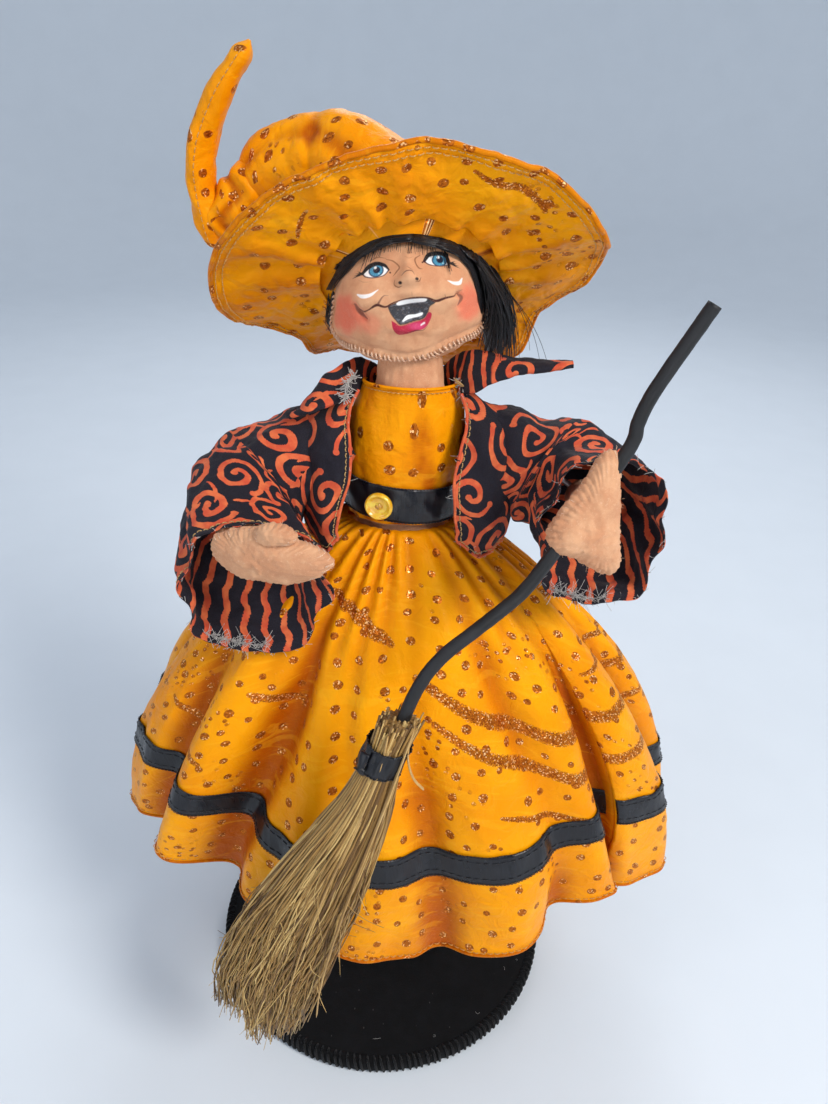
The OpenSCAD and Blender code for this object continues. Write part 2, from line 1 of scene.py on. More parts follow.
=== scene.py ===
"""Witch figure of stitched felt: its looks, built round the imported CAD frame. Lengths in the
shapes are millimetres in the row's frame, and become metres when a mesh is made."""
import math

import bpy
import numpy as np
from mathutils import Matrix


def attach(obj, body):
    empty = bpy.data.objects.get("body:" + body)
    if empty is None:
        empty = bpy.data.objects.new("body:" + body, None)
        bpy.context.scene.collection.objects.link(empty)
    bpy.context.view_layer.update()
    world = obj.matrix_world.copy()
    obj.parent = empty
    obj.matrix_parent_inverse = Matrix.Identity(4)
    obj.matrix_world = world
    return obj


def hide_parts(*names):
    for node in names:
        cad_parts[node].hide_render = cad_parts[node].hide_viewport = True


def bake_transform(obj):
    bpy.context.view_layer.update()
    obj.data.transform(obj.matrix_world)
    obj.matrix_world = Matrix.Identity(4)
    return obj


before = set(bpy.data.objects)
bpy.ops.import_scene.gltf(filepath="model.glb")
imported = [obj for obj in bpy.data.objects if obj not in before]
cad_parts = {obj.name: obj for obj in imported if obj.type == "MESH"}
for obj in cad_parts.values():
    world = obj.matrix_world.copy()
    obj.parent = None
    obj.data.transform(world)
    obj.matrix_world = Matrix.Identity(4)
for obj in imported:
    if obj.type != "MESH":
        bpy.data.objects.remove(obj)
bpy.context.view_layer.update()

MM = 0.001
TAU = 2 * math.pi
cos, sin, pi = np.cos, np.sin, np.pi


# ---------- camera, floor and lights ----------

def aim_camera():
    """Camera at the photograph's height and tilt, looking down at the standing figure."""
    pitch, roll, yaw = map(math.radians, (28.5, 2.5, 0.8))
    forward = np.array([math.sin(yaw) * math.cos(pitch), math.cos(yaw) * math.cos(pitch),
                        -math.sin(pitch)])
    level = np.array([math.cos(yaw), -math.sin(yaw), 0])
    above = np.cross(level, forward)
    right = level * math.cos(roll) + above * math.sin(roll)
    up = above * math.cos(roll) - level * math.sin(roll)
    data = bpy.data.cameras.new("camera")
    data.sensor_width = 36
    data.lens = 27.03
    data.clip_start = 0.005
    camera = bpy.data.objects.new("camera", data)
    bpy.context.collection.objects.link(camera)
    place = Matrix([[*row] for row in np.array([right, up, -forward]).T]).to_4x4()
    place.translation = (0.003, -0.208, 0.270)
    camera.matrix_world = place
    bpy.context.scene.camera = camera


def area_light(name, place, target, size, power, tint):
    data = bpy.data.lights.new(name, "AREA")
    data.shape = "DISK"
    data.size = size
    data.energy = power
    data.color = tint
    light = bpy.data.objects.new(name, data)
    bpy.context.collection.objects.link(light)
    back = np.array(place, float) - np.array(target, float)
    back /= np.linalg.norm(back)
    side = np.cross([0, 0, 1], back)
    side /= np.linalg.norm(side)
    turn = Matrix([[*row] for row in np.array([side, np.cross(back, side), back]).T]).to_4x4()
    turn.translation = place
    light.matrix_world = turn


aim_camera()

# ---------- numbers shared with the CAD source, in mm ----------

TRUNK_AXIS, SKIRT_AXIS = (3, -5, 0), (4, -1, 0)
TRUNK_X = [[149, 2.5], [178, 1.6], [196, 2.6], [204, 3]]
TRUNK_Y = [[149, -3.4], [178, -5], [196, -5], [204, -5.5]]
TRUNK_A = [[149, 12.5], [165, 12.6], [178, 13], [190, 13.6], [197, 13], [201, 10.6], [204, 8]]
TRUNK_B = [[149, 9.5], [165, 9.6], [178, 10], [190, 10.6], [197, 9.4], [201, 8.2], [204, 7]]
HEAD_C = np.array([1.5, -3, 230.5])
HEAD_A = [[-17, 4], [-16, 9], [-13, 14], [-7, 17.6], [0, 17.4], [7, 15.8], [12, 12.6],
          [16, 7], [17.5, 3]]
HEAD_B = [[-17, 4], [-16, 8], [-13, 11.6], [-7, 14.6], [0, 15.6], [7, 14.8], [12, 12],
          [16, 6.6], [17.5, 3]]
SHOULDER = {"left": np.array([23, -3, 198.0]), "right": np.array([-17, -3, 197.0])}
ELBOW = {"left": np.array([49, -8, 181.0]), "right": np.array([-45, -12, 179.0])}
WRIST = {"left": np.array([45, -35, 190.0]), "right": np.array([-37, -32, 176.0])}


# ---------- small tools ----------

def value_noise(points, seed=0):
    """Smooth noise from -1 to 1 at each row of points, with a cell of 1."""
    points = np.asarray(points, float)
    cell = np.floor(points).astype(np.int64)
    part = points - cell
    part = part * part * (3 - 2 * part)
    total = np.zeros(points.shape[:-1])
    with np.errstate(over="ignore"):
        for corner in range(8):
            step = [corner & 1, corner >> 1 & 1, corner >> 2 & 1]
            key = seed * 1274126177 + sum((cell[..., k] + step[k]) * prime for k, prime in
                                          enumerate((374761393, 668265263, 2147483647)))
            key = (key ^ (key >> 13)) * 1274126177
            key = (key ^ (key >> 16)) & 0xFFFF
            weight = 1.0
            for k in range(3):
                weight = weight * (part[..., k] if step[k] else 1 - part[..., k])
            total += weight * key
    return total / 32767.5 - 1


def fractal(points, size, seed=0, octaves=3):
    """Layered noise whose largest lumps are about size mm."""
    points = np.asarray(points, float) / size
    return sum(value_noise(points * 2 ** k, seed + k) * 0.5 ** k for k in range(octaves))


def along(table, x):
    table = np.asarray(table, float)
    return np.interp(x, table[:, 0], table[:, 1])


def smooth_along(table, x, width):
    """A line through the table's pairs, rounded over about width."""
    return sum(along(table, np.asarray(x) + width * k) for k in (-0.6, -0.2, 0.2, 0.6)) / 4


def smooth_path(points, count):
    """Even points on a smooth curve through the given ones."""
    points = np.asarray(points, float)
    ends = np.vstack([2 * points[0] - points[1], points, 2 * points[-1] - points[-2]])
    fine = []
    for k in range(1, len(ends) - 2):
        t = np.linspace(0, 1, 24, endpoint=False)[:, None]
        a, b, c, d = ends[k - 1:k + 3]
        fine.append(0.5 * (2 * b + (c - a) * t + (2 * a - 5 * b + 4 * c - d) * t ** 2
                           + (3 * b - a - 3 * c + d) * t ** 3))
    fine = np.vstack(fine + [points[-1:]])
    gone = np.r_[0, np.cumsum(np.linalg.norm(np.diff(fine[:, :3], axis=0), axis=1))]
    at = np.linspace(0, gone[-1], count)
    return np.stack([np.interp(at, gone, fine[:, k]) for k in range(fine.shape[1])], 1)


def unit(v):
    v = np.asarray(v, float)
    return v / np.maximum(np.linalg.norm(v, axis=-1, keepdims=True), 1e-9)


def around(count):
    """Even angles round a full turn."""
    return np.linspace(0, TAU, count, endpoint=False)


def from_behind(count):
    """Even angles in degrees round a full turn, from the back seam on."""
    return np.linspace(0, 360, count, endpoint=False) + 90


def looped(line):
    return np.vstack([line, line[:1]])


def outward(points, axis):
    """Level directions away from an upright axis."""
    return unit((points - np.array(axis)) * [1, 1, 0])


def signed_power(x, power):
    return np.sign(x) * np.abs(x) ** power


def ellipses(path, a):
    """Level ellipses at rows of [x, y, z, half width, half depth]."""
    return np.stack([path[:, 0, None] + path[:, 3, None] * cos(a),
                     path[:, 1, None] + path[:, 4, None] * sin(a),
                     path[:, 2, None] + 0 * a], 2)


def turned(path, a):
    """A profile of [radius, height] rows turned round an upright axis."""
    return np.stack([path[:, 0, None] * cos(a), path[:, 0, None] * sin(a),
                     path[:, -1, None] + 0 * a], 2)


def smoothstep(low, high, x):
    t = np.clip((np.asarray(x, float) - low) / (high - low), 0, 1)
    return t * t * (3 - 2 * t)


def bump(x, centre, width):
    return np.exp(-((x - centre) / width) ** 2)


def wrap(angle):
    """Angle in degrees brought into -180 to 180."""
    return (np.asarray(angle) + 180) % 360 - 180


# ---------- meshes ----------

def new_object(name, points, faces, material, uv=None, colours=None, values=None, part=None):
    """Mesh object from mm points and faces (an array of quads, or lists of corners). uv is a
    pair in mm per corner, colours and values are per point, part is a material per face."""
    mesh = bpy.data.meshes.new(name)
    faces = [list(map(int, f)) for f in faces]
    mesh.from_pydata((np.asarray(points, float) * MM).tolist(), [], faces)
    for m in material if isinstance(material, (list, tuple)) else [material]:
        mesh.materials.append(m)
    mesh.polygons.foreach_set("use_smooth", [True] * len(faces))
    if part is not None:
        mesh.polygons.foreach_set("material_index", np.asarray(part, np.int32))
    if uv is not None:
        layer = mesh.uv_layers.new(name="cloth")
        layer.data.foreach_set("uv", np.asarray(uv, np.float32).reshape(-1))
    for title, data in (colours or {}).items():
        rgba = np.ones((len(points), 4), np.float32)
        rgba[:, :3] = data
        mesh.attributes.new(title, "FLOAT_COLOR", "POINT").data.foreach_set(
            "color", rgba.reshape(-1))
    for title, data in (values or {}).items():
        mesh.attributes.new(title, "FLOAT", "POINT").data.foreach_set(
            "value", np.asarray(data, np.float32).reshape(-1))
    mesh.update()
    obj = bpy.data.objects.new(name, mesh)
    bpy.context.collection.objects.link(obj)
    return obj


def grid_faces(rows, columns, closed=False, first=0, flip=False):
    """Quads of a rows x columns grid of points, in order, and each one's corners in the grid."""
    i, j = np.meshgrid(np.arange(rows - 1), np.arange(columns - (not closed)), indexing="ij")
    i, j = i.ravel(), j.ravel()
    across = (j + 1) % columns
    quads = np.stack([i * columns + j, i * columns + across,
                      (i + 1) * columns + across, (i + 1) * columns + j], 1) + first
    corners = np.stack([np.stack([i, j], 1), np.stack([i, j + 1], 1),
                        np.stack([i + 1, j + 1], 1), np.stack([i + 1, j], 1)], 1)
    if flip:
        quads, corners = quads[:, ::-1], corners[:, ::-1]
    return quads, corners


def grid_normals(P, closed):
    down = np.gradient(P, axis=0)
    if closed:
        over = (np.roll(P, -1, 1) - np.roll(P, 1, 1)) / 2
    else:
        over = np.gradient(P, axis=1)
    return unit(np.cross(over, down))


def grid_uv(P, closed):
    """Distances along the rows and columns, in mm, measured on the surface."""
    Q = np.concatenate([P, P[:, :1]], 1) if closed else P
    over = np.linalg.norm(np.diff(Q, axis=1), axis=2)
    across = np.concatenate([np.zeros((len(P), 1)), np.cumsum(over, 1)], 1)
    across = across - across[:, -1:] / 2
    down = np.linalg.norm(np.diff(Q, axis=0), axis=2)
    along_side = np.concatenate([np.zeros((1, Q.shape[1])), np.cumsum(down, 0)], 0)
    mean = np.broadcast_to(along_side.mean(1)[:, None], along_side.shape)
    return np.stack([across, mean], 2)


def cloth(name, P, thick, face, lining=None, closed=False, uv=None, colours=None,
          values=None, centre=None, inside=None):
    """Closed shell of cloth on the grid P: face on the side away from centre, and a lining
    thick mm behind it, with a folded rim. centre "path" is each row's own middle. inside
    holds the lining's own colours."""
    uv = grid_uv(P, closed) if uv is None else uv
    if centre is None:
        centre = P.mean((0, 1))
    elif isinstance(centre, str):
        centre = P.mean(1, keepdims=True)
    if (grid_normals(P, closed) * (P - np.asarray(centre, float))).sum() < 0:
        P, uv = P[::-1], uv[::-1]
        colours = {k: np.asarray(c)[::-1] for k, c in (colours or {}).items()}
        inside = {k: np.asarray(c)[::-1] for k, c in (inside or {}).items()}
        values = {k: np.asarray(v)[::-1] for k, v in (values or {}).items()}
    rows, columns = P.shape[:2]
    normals = grid_normals(P, closed)
    points = np.vstack([P.reshape(-1, 3), (P - normals * thick).reshape(-1, 3)])
    count = rows * columns
    front, where = grid_faces(rows, columns, closed)
    rear, where_rear = grid_faces(rows, columns, closed, count, flip=True)
    front, where, rear, where_rear = (q[:, ::-1] for q in (front, where, rear, where_rear))
    rim, rim_where = [], []
    for i, out in ((0, 1), (rows - 1, -1)):
        for j in range(columns - (not closed)):
            a, b = i * columns + j, i * columns + (j + 1) % columns
            quad, spots = [a, b, b + count, a + count], [(i, j), (i, j + 1), (i, j + 1), (i, j)]
            rim.append(quad[::out])
            rim_where.append(spots[::out])
    if not closed:
        for j, out in ((0, -1), (columns - 1, 1)):
            for i in range(rows - 1):
                a, b = i * columns + j, (i + 1) * columns + j
                quad, spots = [a, b, b + count, a + count], [(i, j), (i + 1, j), (i + 1, j), (i, j)]
                rim.append(quad[::out])
                rim_where.append(spots[::out])
    faces = np.vstack([front, rear, np.array(rim)])
    spots = np.vstack([where, where_rear, np.array(rim_where)])
    corner_uv = uv[spots[..., 0], spots[..., 1]].reshape(-1, 2)
    part = np.r_[np.zeros(len(front)), np.ones(len(rear)) * (lining is not None),
                 np.zeros(len(rim))]
    both = {k: np.vstack([np.reshape(c, (-1, 3)), np.reshape((inside or {}).get(k, c), (-1, 3))])
            for k, c in (colours or {}).items()}
    two = {k: np.tile(np.asarray(v).reshape(-1), 2) for k, v in (values or {}).items()}
    return new_object(name, points, faces, [face, lining] if lining else [face],
                      corner_uv, both, two, part)


def solid(name, P, material, colours=None, values=None, uv=None):
    """Closed form through the rings of P, with a fan over each end."""
    rows, columns = P.shape[:2]
    ends = np.array([P[0].mean(0), P[-1].mean(0)])
    points = np.vstack([P.reshape(-1, 3), ends])
    quads, where = grid_faces(rows, columns, True)
    uv = grid_uv(P, True) if uv is None else uv
    faces = [list(q) for q in quads]
    corner_uv = list(uv[where[..., 0], where[..., 1]].reshape(-1, 2))
    count = rows * columns
    for j in range(columns):
        over = (j + 1) % columns
        faces.append([count, over, j])
        corner_uv += [uv[0, j], uv[0, j + 1], uv[0, j]]
        faces.append([count + 1, count - columns + j, count - columns + over])
        corner_uv += [uv[-1, j], uv[-1, j], uv[-1, j + 1]]
    whole = {k: np.vstack([np.asarray(c).reshape(-1, 3), c[0].mean(0), c[-1].mean(0)])
             for k, c in (colours or {}).items()}
    extra = {k: np.r_[np.asarray(v).reshape(-1), v[0].mean(), v[-1].mean()]
             for k, v in (values or {}).items()}
    obj = new_object(name, points, faces, material, np.array(corner_uv), whole, extra)
    turn_out(obj)
    return obj


def turn_out(obj):
    """Turns a closed mesh's faces outward."""
    mesh = obj.data
    count = len(mesh.vertices)
    co = np.empty(count * 3)
    mesh.vertices.foreach_get("co", co)
    co = co.reshape(-1, 3)
    mesh.calc_loop_triangles()
    tri = np.empty(len(mesh.loop_triangles) * 3, np.int32)
    mesh.loop_triangles.foreach_get("vertices", tri)
    a, b, c = co[tri.reshape(-1, 3)].transpose(1, 0, 2)
    if np.einsum("ij,ij->i", a, np.cross(b, c)).sum() < 0:
        mesh.flip_normals()


def rings_along(path, half_width, half_height, sides=24, up=(0, 0, 1)):
    """Rings about a path, across it, with the half sizes along level and upright axes."""
    path = np.asarray(path, float)
    t = unit(np.gradient(path, axis=0))
    p = unit(np.cross(np.broadcast_to(up, t.shape), t))
    q = np.cross(t, p)
    a = around(sides)
    c, s = cos(a), sin(a)
    w = np.broadcast_to(half_width, len(path))[:, None, None]
    h = np.broadcast_to(half_height, len(path))[:, None, None]
    return path[:, None] + p[:, None] * w * c[None, :, None] + q[:, None] * h * s[None, :, None]


def tubes(name, paths, radius, material, sides=6, values=None):
    """One mesh of many round threads. paths are arrays of points, radius a number, or a list of
    numbers or arrays; values holds a number per thread."""
    points, faces, uv, data, first = [], [], [], {k: [] for k in values or {}}, 0
    for n, path in enumerate(paths):
        path = np.asarray(path, float)
        r = radius[n] if isinstance(radius, (list, tuple)) else radius
        r = np.broadcast_to(np.asarray(r, float), len(path))
        t = unit(np.gradient(path, axis=0))
        side = unit(np.cross(np.eye(3)[int(np.argmin(np.abs(t.mean(0))))], t))
        rise = np.cross(t, side)
        a = around(sides)
        ring = (path[:, None] + side[:, None] * (r[:, None] * cos(a))[..., None]
                + rise[:, None] * (r[:, None] * sin(a))[..., None])
        count = len(path) * sides
        points.append(ring.reshape(-1, 3))
        quads, where = grid_faces(len(path), sides, True, first)
        gone = np.r_[0, np.cumsum(np.linalg.norm(np.diff(path, axis=0), axis=1))]
        faces += [list(q) for q in quads[:, ::-1]]
        spots = where[:, ::-1].reshape(-1, 2)
        uv.append(np.stack([spots[:, 1] / sides * TAU * r.mean(), gone[spots[:, 0]]], 1))
        faces.append(list(range(first + sides - 1, first - 1, -1))[::-1])
        faces.append(list(range(first + count - sides, first + count))[::-1])
        uv.append(np.zeros((2 * sides, 2)))
        for k in data:
            data[k].append(np.full(count, values[k][n]))
        first += count
    return new_object(name, np.vstack(points), faces, material, np.vstack(uv), None,
                      {k: np.concatenate(v) for k, v in data.items()})


def stitches(path, out, pitch, length, lean=0.0, lift=0.25, sides=7):
    """Short threads along a seam, each an arch that dips into the cloth at both ends. out is
    the cloth's normal at each point of the path."""
    path, out = np.asarray(path, float), np.asarray(out, float)
    gone = np.r_[0, np.cumsum(np.linalg.norm(np.diff(path, axis=0), axis=1))]
    made, at = [], 0.0
    while at + length < gone[-1]:
        s = np.linspace(at, at + length, sides)
        p = np.stack([np.interp(s, gone, path[:, k]) for k in range(3)], 1)
        n = unit(np.stack([np.interp(s, gone, out[:, k]) for k in range(3)], 1))
        t = unit(p[-1] - p[0])
        side = np.cross(t, n.mean(0))
        u = np.linspace(-1, 1, sides)[:, None]
        made.append(p + n * lift * (1 - 1.6 * u ** 2) + side * lean * u)
        at += pitch
    return made


# ---------- materials ----------

class Shader:
    """Short way to write a node material."""

    def __init__(self, name, **inputs):
        self.mat = bpy.data.materials.new(name)
        self.mat.use_nodes = True
        self.tree = self.mat.node_tree
        self.tree.nodes.clear()
        out = self.tree.nodes.new("ShaderNodeOutputMaterial")
        self.surface = self.node("BsdfPrincipled", **inputs)
        self.tree.links.new(self.surface.outputs[0], out.inputs["Surface"])

    def node(self, kind, out=None, **inputs):
        n = self.tree.nodes.new("ShaderNode" + kind)
        settings = inputs.pop("settings", {})
        for key, value in settings.items():
            setattr(n, key, value)
        for key, value in inputs.items():
            self.feed(n, key.replace("_", " "), value)
        return n if out is None else n.outputs[out]

    def feed(self, n, key, value):
        socket = n.inputs[int(key)] if key.isdigit() else n.inputs[key]
        if isinstance(value, bpy.types.NodeSocket):
            self.tree.links.new(value, socket)
        elif isinstance(value, (tuple, list)) and len(value) == 3 and socket.type == "RGBA":
            socket.default_value = (*value, 1)
        else:
            socket.default_value = value

    def set(self, **inputs):
        for key, value in inputs.items():
            self.feed(self.surface, key.replace("_", " "), value)

    def mm(self):
        """Place on the object, in mm."""
        at = self.node("TexCoord", "Object")
        return self.scaled(at, (1000, 1000, 1000))

    def uv(self):
        """Distance over the cloth, in mm."""
        return self.node("UVMap", "UV", settings={"uv_map": "cloth"})

    def scaled(self, vector, factors):
        n = self.node("VectorMath", settings={"operation": "MULTIPLY"})
        self.tree.links.new(vector, n.inputs[0])
        n.inputs[1].default_value = factors
        return n.outputs[0]

    def math(self, operation, *values):
        n = self.node("Math", settings={"operation": operation})
        for k, value in enumerate(values):
            self.feed(n, str(k), value)
        return n.outputs[0]

    def step(self, value, low, high, to_low=0.0, to_high=1.0):
        n = self.node("MapRange", settings={"interpolation_type": "SMOOTHSTEP"}, Value=value)
        for key, limit in zip(("From Min", "From Max", "To Min", "To Max"),
                              (low, high, to_low, to_high)):
            self.feed(n, key, limit)
        return n.outputs[0]

    def mix(self, factor, a, b):
        n = self.node("Mix", settings={"data_type": "RGBA"})
        self.feed(n, "0", factor)
        for key, value in (("6", a), ("7", b)):
            self.feed(n, key, value)
        return n.outputs[2]

    def noise(self, vector, size, detail=3.0, rough=0.55, twist=0.0):
        return self.node("TexNoise", "Fac", Vector=vector, Scale=1 / size, Detail=detail,
                         Roughness=rough, Distortion=twist)

    def cells(self, vector, size, out="Distance", loose=1.0, flat=False):
        return self.node("TexVoronoi", out, Vector=vector, Scale=1 / size, Randomness=loose,
                         settings={"voronoi_dimensions": "2D" if flat else "3D"})

    def value(self, name, out="Fac"):
        return self.node("Attribute", out, settings={"attribute_name": name})

    def parts(self, vector):
        return self.node("SeparateXYZ", Vector=vector).outputs

    def relief(self, height, depth_mm, strength=1.0, under=None):
        """Bumps height, given in 0 to 1, by depth_mm."""
        n = self.node("Bump", Height=height, Distance=depth_mm * MM, Strength=strength)
        if under is not None:
            self.tree.links.new(under, n.inputs["Normal"])
        return n.outputs[0]


def felt(name, tone, deep, pale, fuzz=0.5, lint=0.0, painted=None, sheen=0.3):
    """Pressed wool: mottled colour, short fibres lying every way, and a soft sheen."""
    s = Shader(name, Roughness=0.93)
    at = s.mm()
    blotch = s.noise(at, 6.0, 4.0, 0.6)
    fibre = s.noise(at, 0.55, 5.0, 0.7, 1.4)
    hairs = s.noise(s.scaled(at, (1.0, 0.35, 0.6)), 0.3, 3.0, 0.6, 2.2)
    colour = s.mix(s.step(blotch, 0.35, 0.7), deep, tone)
    if painted:
        paint = s.value(painted, "Color")
        cover = s.value("cover")
        worn = s.math("MULTIPLY", cover, s.step(fibre, 0.15, 0.42))
        colour = s.mix(worn, colour, paint)
    colour = s.mix(s.math("MULTIPLY", s.step(fibre, 0.52, 0.75), fuzz), colour, pale)
    if lint:
        spots = s.step(s.cells(s.scaled(at, (1.0, 0.5, 1.0)), 3.0), 0.07, 0.03)
        colour = s.mix(s.math("MULTIPLY", spots, lint), colour, (0.45, 0.42, 0.38))
    s.set(Base_Color=colour, Sheen_Weight=sheen, Sheen_Roughness=0.45, Sheen_Tint=(*pale, 1),
          Specular_IOR_Level=0.25)
    coarse = s.relief(blotch, 0.35, 0.5)
    fine = s.relief(fibre, 0.28, 0.75, coarse)
    s.set(Normal=s.relief(hairs, 0.12, 0.6, fine))
    return s.mat


def organza(name, tone, deep, pale, dots=True):
    """Shiny crisp cloth with printed copper glitter dots and streaks, painted shade in the valleys
    of its folds, painted sheen streaks and painted glints on the glitter.
    """
    s = Shader(name, Roughness=0.42)
    at = s.uv()
    place = s.mm()
    wide = s.noise(place, 22.0, 3.0, 0.5)
    crinkle = s.noise(place, 5.0, 4.0, 0.6, 0.8)
    fold = s.value("fold")
    colour = s.mix(s.step(wide, 0.3, 0.7), tone, pale)
    # painted shade: where the per-point shade value is low, in the valleys of folds and on rolled
    # edges, the deep colour is laid
    colour = s.mix(s.step(fold, 0.66, 0.02), colour, deep)
    threads = s.noise(s.scaled(at, (0.4, 6.0, 1.0)), 1.0, 2.0, 0.6)
    colour = s.mix(s.math("MULTIPLY", s.step(threads, 0.45, 0.8), 0.25), colour, pale)
    # painted highlight: wavy lighter streaks that stand for the cloth's sheen
    sheen_streaks = s.noise(s.scaled(at, (0.25, 1.0, 1.0)), 7.0, 3.0, 0.5, 2.5)
    colour = s.mix(s.math("MULTIPLY", s.step(sheen_streaks, 0.56, 0.64), 0.22), colour,
                   (0.97, 0.46, 0.015))
    normal = s.relief(crinkle, 1.1, 0.55)
    if dots:
        wobble = s.noise(at, 0.7, 2.0, 0.6)
        edge = s.math("MULTIPLY", s.math("SUBTRACT", wobble, 0.5), 0.05)
        size = 7.0
        near = s.math("ADD", s.cells(at, size, loose=0.6, flat=True), edge)
        pick = s.parts(s.cells(at, size, "Color", loose=0.6, flat=True))[0]
        reach = s.step(pick, 0.0, 1.0, 0.135, 0.195)
        big = s.step(s.math("SUBTRACT", near, reach), 0.018, -0.018)
        big = s.math("MULTIPLY", big, s.math("GREATER_THAN", pick, 0.16))
        small_near = s.math("ADD", s.cells(at, 3.3, loose=0.9, flat=True), edge)
        where = s.step(s.noise(at, 24.0, 2.0, 0.5), 0.56, 0.66)
        small = s.math("MULTIPLY", s.step(small_near, 0.22, 0.17), where)
        grain = s.noise(at, 0.5, 3.0, 0.75)
        streak = s.step(s.math("MULTIPLY", s.value("glitter"), s.step(grain, 0.2, 0.62)),
                        0.28, 0.5)
        cover = s.math("MAXIMUM", s.math("MAXIMUM", big, small), streak)
        cover = s.math("MULTIPLY", cover, s.step(grain, 0.20, 0.36))
        flecks = s.parts(s.cells(at, 0.34, "Color", flat=True))
        metal = s.mix(flecks[0], (0.24, 0.045, 0.004), (0.62, 0.17, 0.016))
        # painted glints: a few glitter flecks turned pale to stand for sparkle
        metal = s.mix(s.step(flecks[1], 0.86, 0.9), metal, (0.95, 0.55, 0.24))
        colour = s.mix(cover, colour, metal)
        tilt = s.math("MULTIPLY", flecks[2], cover)
        normal = s.relief(tilt, 0.12, 0.8, normal)
        s.set(Metallic=s.math("MULTIPLY", cover, 0.55),
              Roughness=s.step(cover, 0.0, 1.0, 0.42, 0.3))
    s.set(Base_Color=colour, Sheen_Weight=0.07, Sheen_Roughness=0.4,
          Sheen_Tint=(1.0, 0.60, 0.08, 1), Anisotropic=0.3, Specular_IOR_Level=0.24,
          Specular_Tint=(1.0, 0.72, 0.25, 1),
          Subsurface_Weight=0.12, Subsurface_Radius=(0.004, 0.0018, 0.0005),
          Subsurface_Scale=0.4, Normal=s.relief(threads, 0.05, 0.4, normal))
    return s.mat


def satin(name):
    """Black satin ribbon with fine ribs across it."""
    s = Shader(name, Roughness=0.3)
    at = s.uv()
    ribs = s.noise(s.scaled(at, (3.2, 0.15, 1)), 1.0, 2.0, 0.5)
    wave = s.noise(s.scaled(at, (1.0, 0.4, 1)), 6.0, 2.0, 0.5)
    colour = s.mix(s.step(ribs, 0.3, 0.75), (0.002, 0.002, 0.004), (0.007, 0.008, 0.013))
    s.set(Base_Color=colour, Anisotropic=0.75, Anisotropic_Rotation=0.25,
          Specular_IOR_Level=0.4, Sheen_Weight=0.02,
          Roughness=s.step(wave, 0.3, 0.7, 0.24, 0.4),
          Normal=s.relief(wave, 0.7, 0.5, s.relief(ribs, 0.07, 0.6)))
    return s.mat


def printed(name):
    """Navy-black cotton with the print held in the mesh's colours."""
    s = Shader(name, Roughness=0.78)
    at = s.uv()
    warp = s.parts(s.scaled(at, (4.2, 4.2, 1)))
    weave = s.math("MULTIPLY", s.math("SINE", s.math("MULTIPLY", warp[0], TAU)),
                   s.math("SINE", s.math("MULTIPLY", warp[1], TAU)))
    weave = s.math("MULTIPLY_ADD", weave, 0.5, 0.5)
    soft = s.noise(at, 4.0, 4.0, 0.6)
    grain = s.noise(at, 0.35, 3.0, 0.7)
    ink = s.mix(s.step(soft, 0.35, 0.7), (0.58, 0.075, 0.03), (0.74, 0.17, 0.055))
    cover = s.step(s.parts(s.value("print", "Color"))[0], 0.42, 0.58)
    ground = s.mix(s.step(grain, 0.3, 0.8), (0.004, 0.0035, 0.008), (0.013, 0.012, 0.024))
    colour = s.mix(cover, ground, ink)
    colour = s.mix(s.math("MULTIPLY", s.step(weave, 0.6, 1.0), 0.07), colour,
                   (0.30, 0.22, 0.20))
    s.set(Base_Color=colour, Sheen_Weight=0.06, Sheen_Roughness=0.5, Specular_IOR_Level=0.25,
          Normal=s.relief(weave, 0.05, 0.6, s.relief(soft, 0.5, 0.4)))
    return s.mat


def straw(name, dark, tan, pale):
    """Dry stalks: each has its own tone, with streaks along it."""
    s = Shader(name, Roughness=0.55)
    at = s.uv()
    tone = s.value("tone")
    streak = s.noise(s.scaled(at, (5.0, 0.25, 1)), 1.0, 3.0, 0.6)
    blot = s.noise(s.mm(), 6.0, 3.0, 0.6)
    colour = s.mix(s.step(tone, 0.0, 0.6), dark, tan)
    colour = s.mix(s.step(tone, 0.55, 1.0), colour, pale)
    colour = s.mix(s.math("MULTIPLY", s.step(streak, 0.45, 0.8), 0.5), colour, dark)
    colour = s.mix(s.math("MULTIPLY", s.step(blot, 0.58, 0.75), 0.4), colour, dark)
    s.set(Base_Color=colour, Specular_IOR_Level=0.4, Sheen_Weight=0.1,
          Normal=s.relief(streak, 0.08, 0.6))
    return s.mat


def thread(name, tone, pale, gloss=0.5):
    """Spun yarn: strands twisted round each other."""
    s = Shader(name, Roughness=gloss)
    at = s.parts(s.uv())
    turns = s.math("SINE", s.math("MULTIPLY", s.math("ADD", s.math("MULTIPLY", at[0], 2.0),
                                                     s.math("MULTIPLY", at[1], 1.6)), 7.0))
    twist = s.math("MULTIPLY_ADD", turns, 0.5, 0.5)
    wool = s.noise(s.mm(), 0.4, 3.0, 0.7)
    colour = s.mix(s.math("MULTIPLY", twist, s.step(wool, 0.3, 0.7)), tone, pale)
    s.set(Base_Color=colour, Sheen_Weight=0.08, Specular_IOR_Level=0.25,
          Normal=s.relief(twist, 0.12, 0.7))
    return s.mat


def hair_finish(name):
    s = Shader(name, Roughness=0.34)
    tone = s.value("tone")
    along_it = s.noise(s.scaled(s.uv(), (3.0, 0.2, 1)), 1.0, 2.0, 0.5)
    colour = s.mix(tone, (0.0015, 0.0015, 0.002), (0.010, 0.009, 0.012))
    s.set(Base_Color=colour, Anisotropic=0.6, Specular_IOR_Level=0.45, Coat_Weight=0.05,
          Roughness=s.step(along_it, 0.3, 0.7, 0.28, 0.42))
    return s.mat


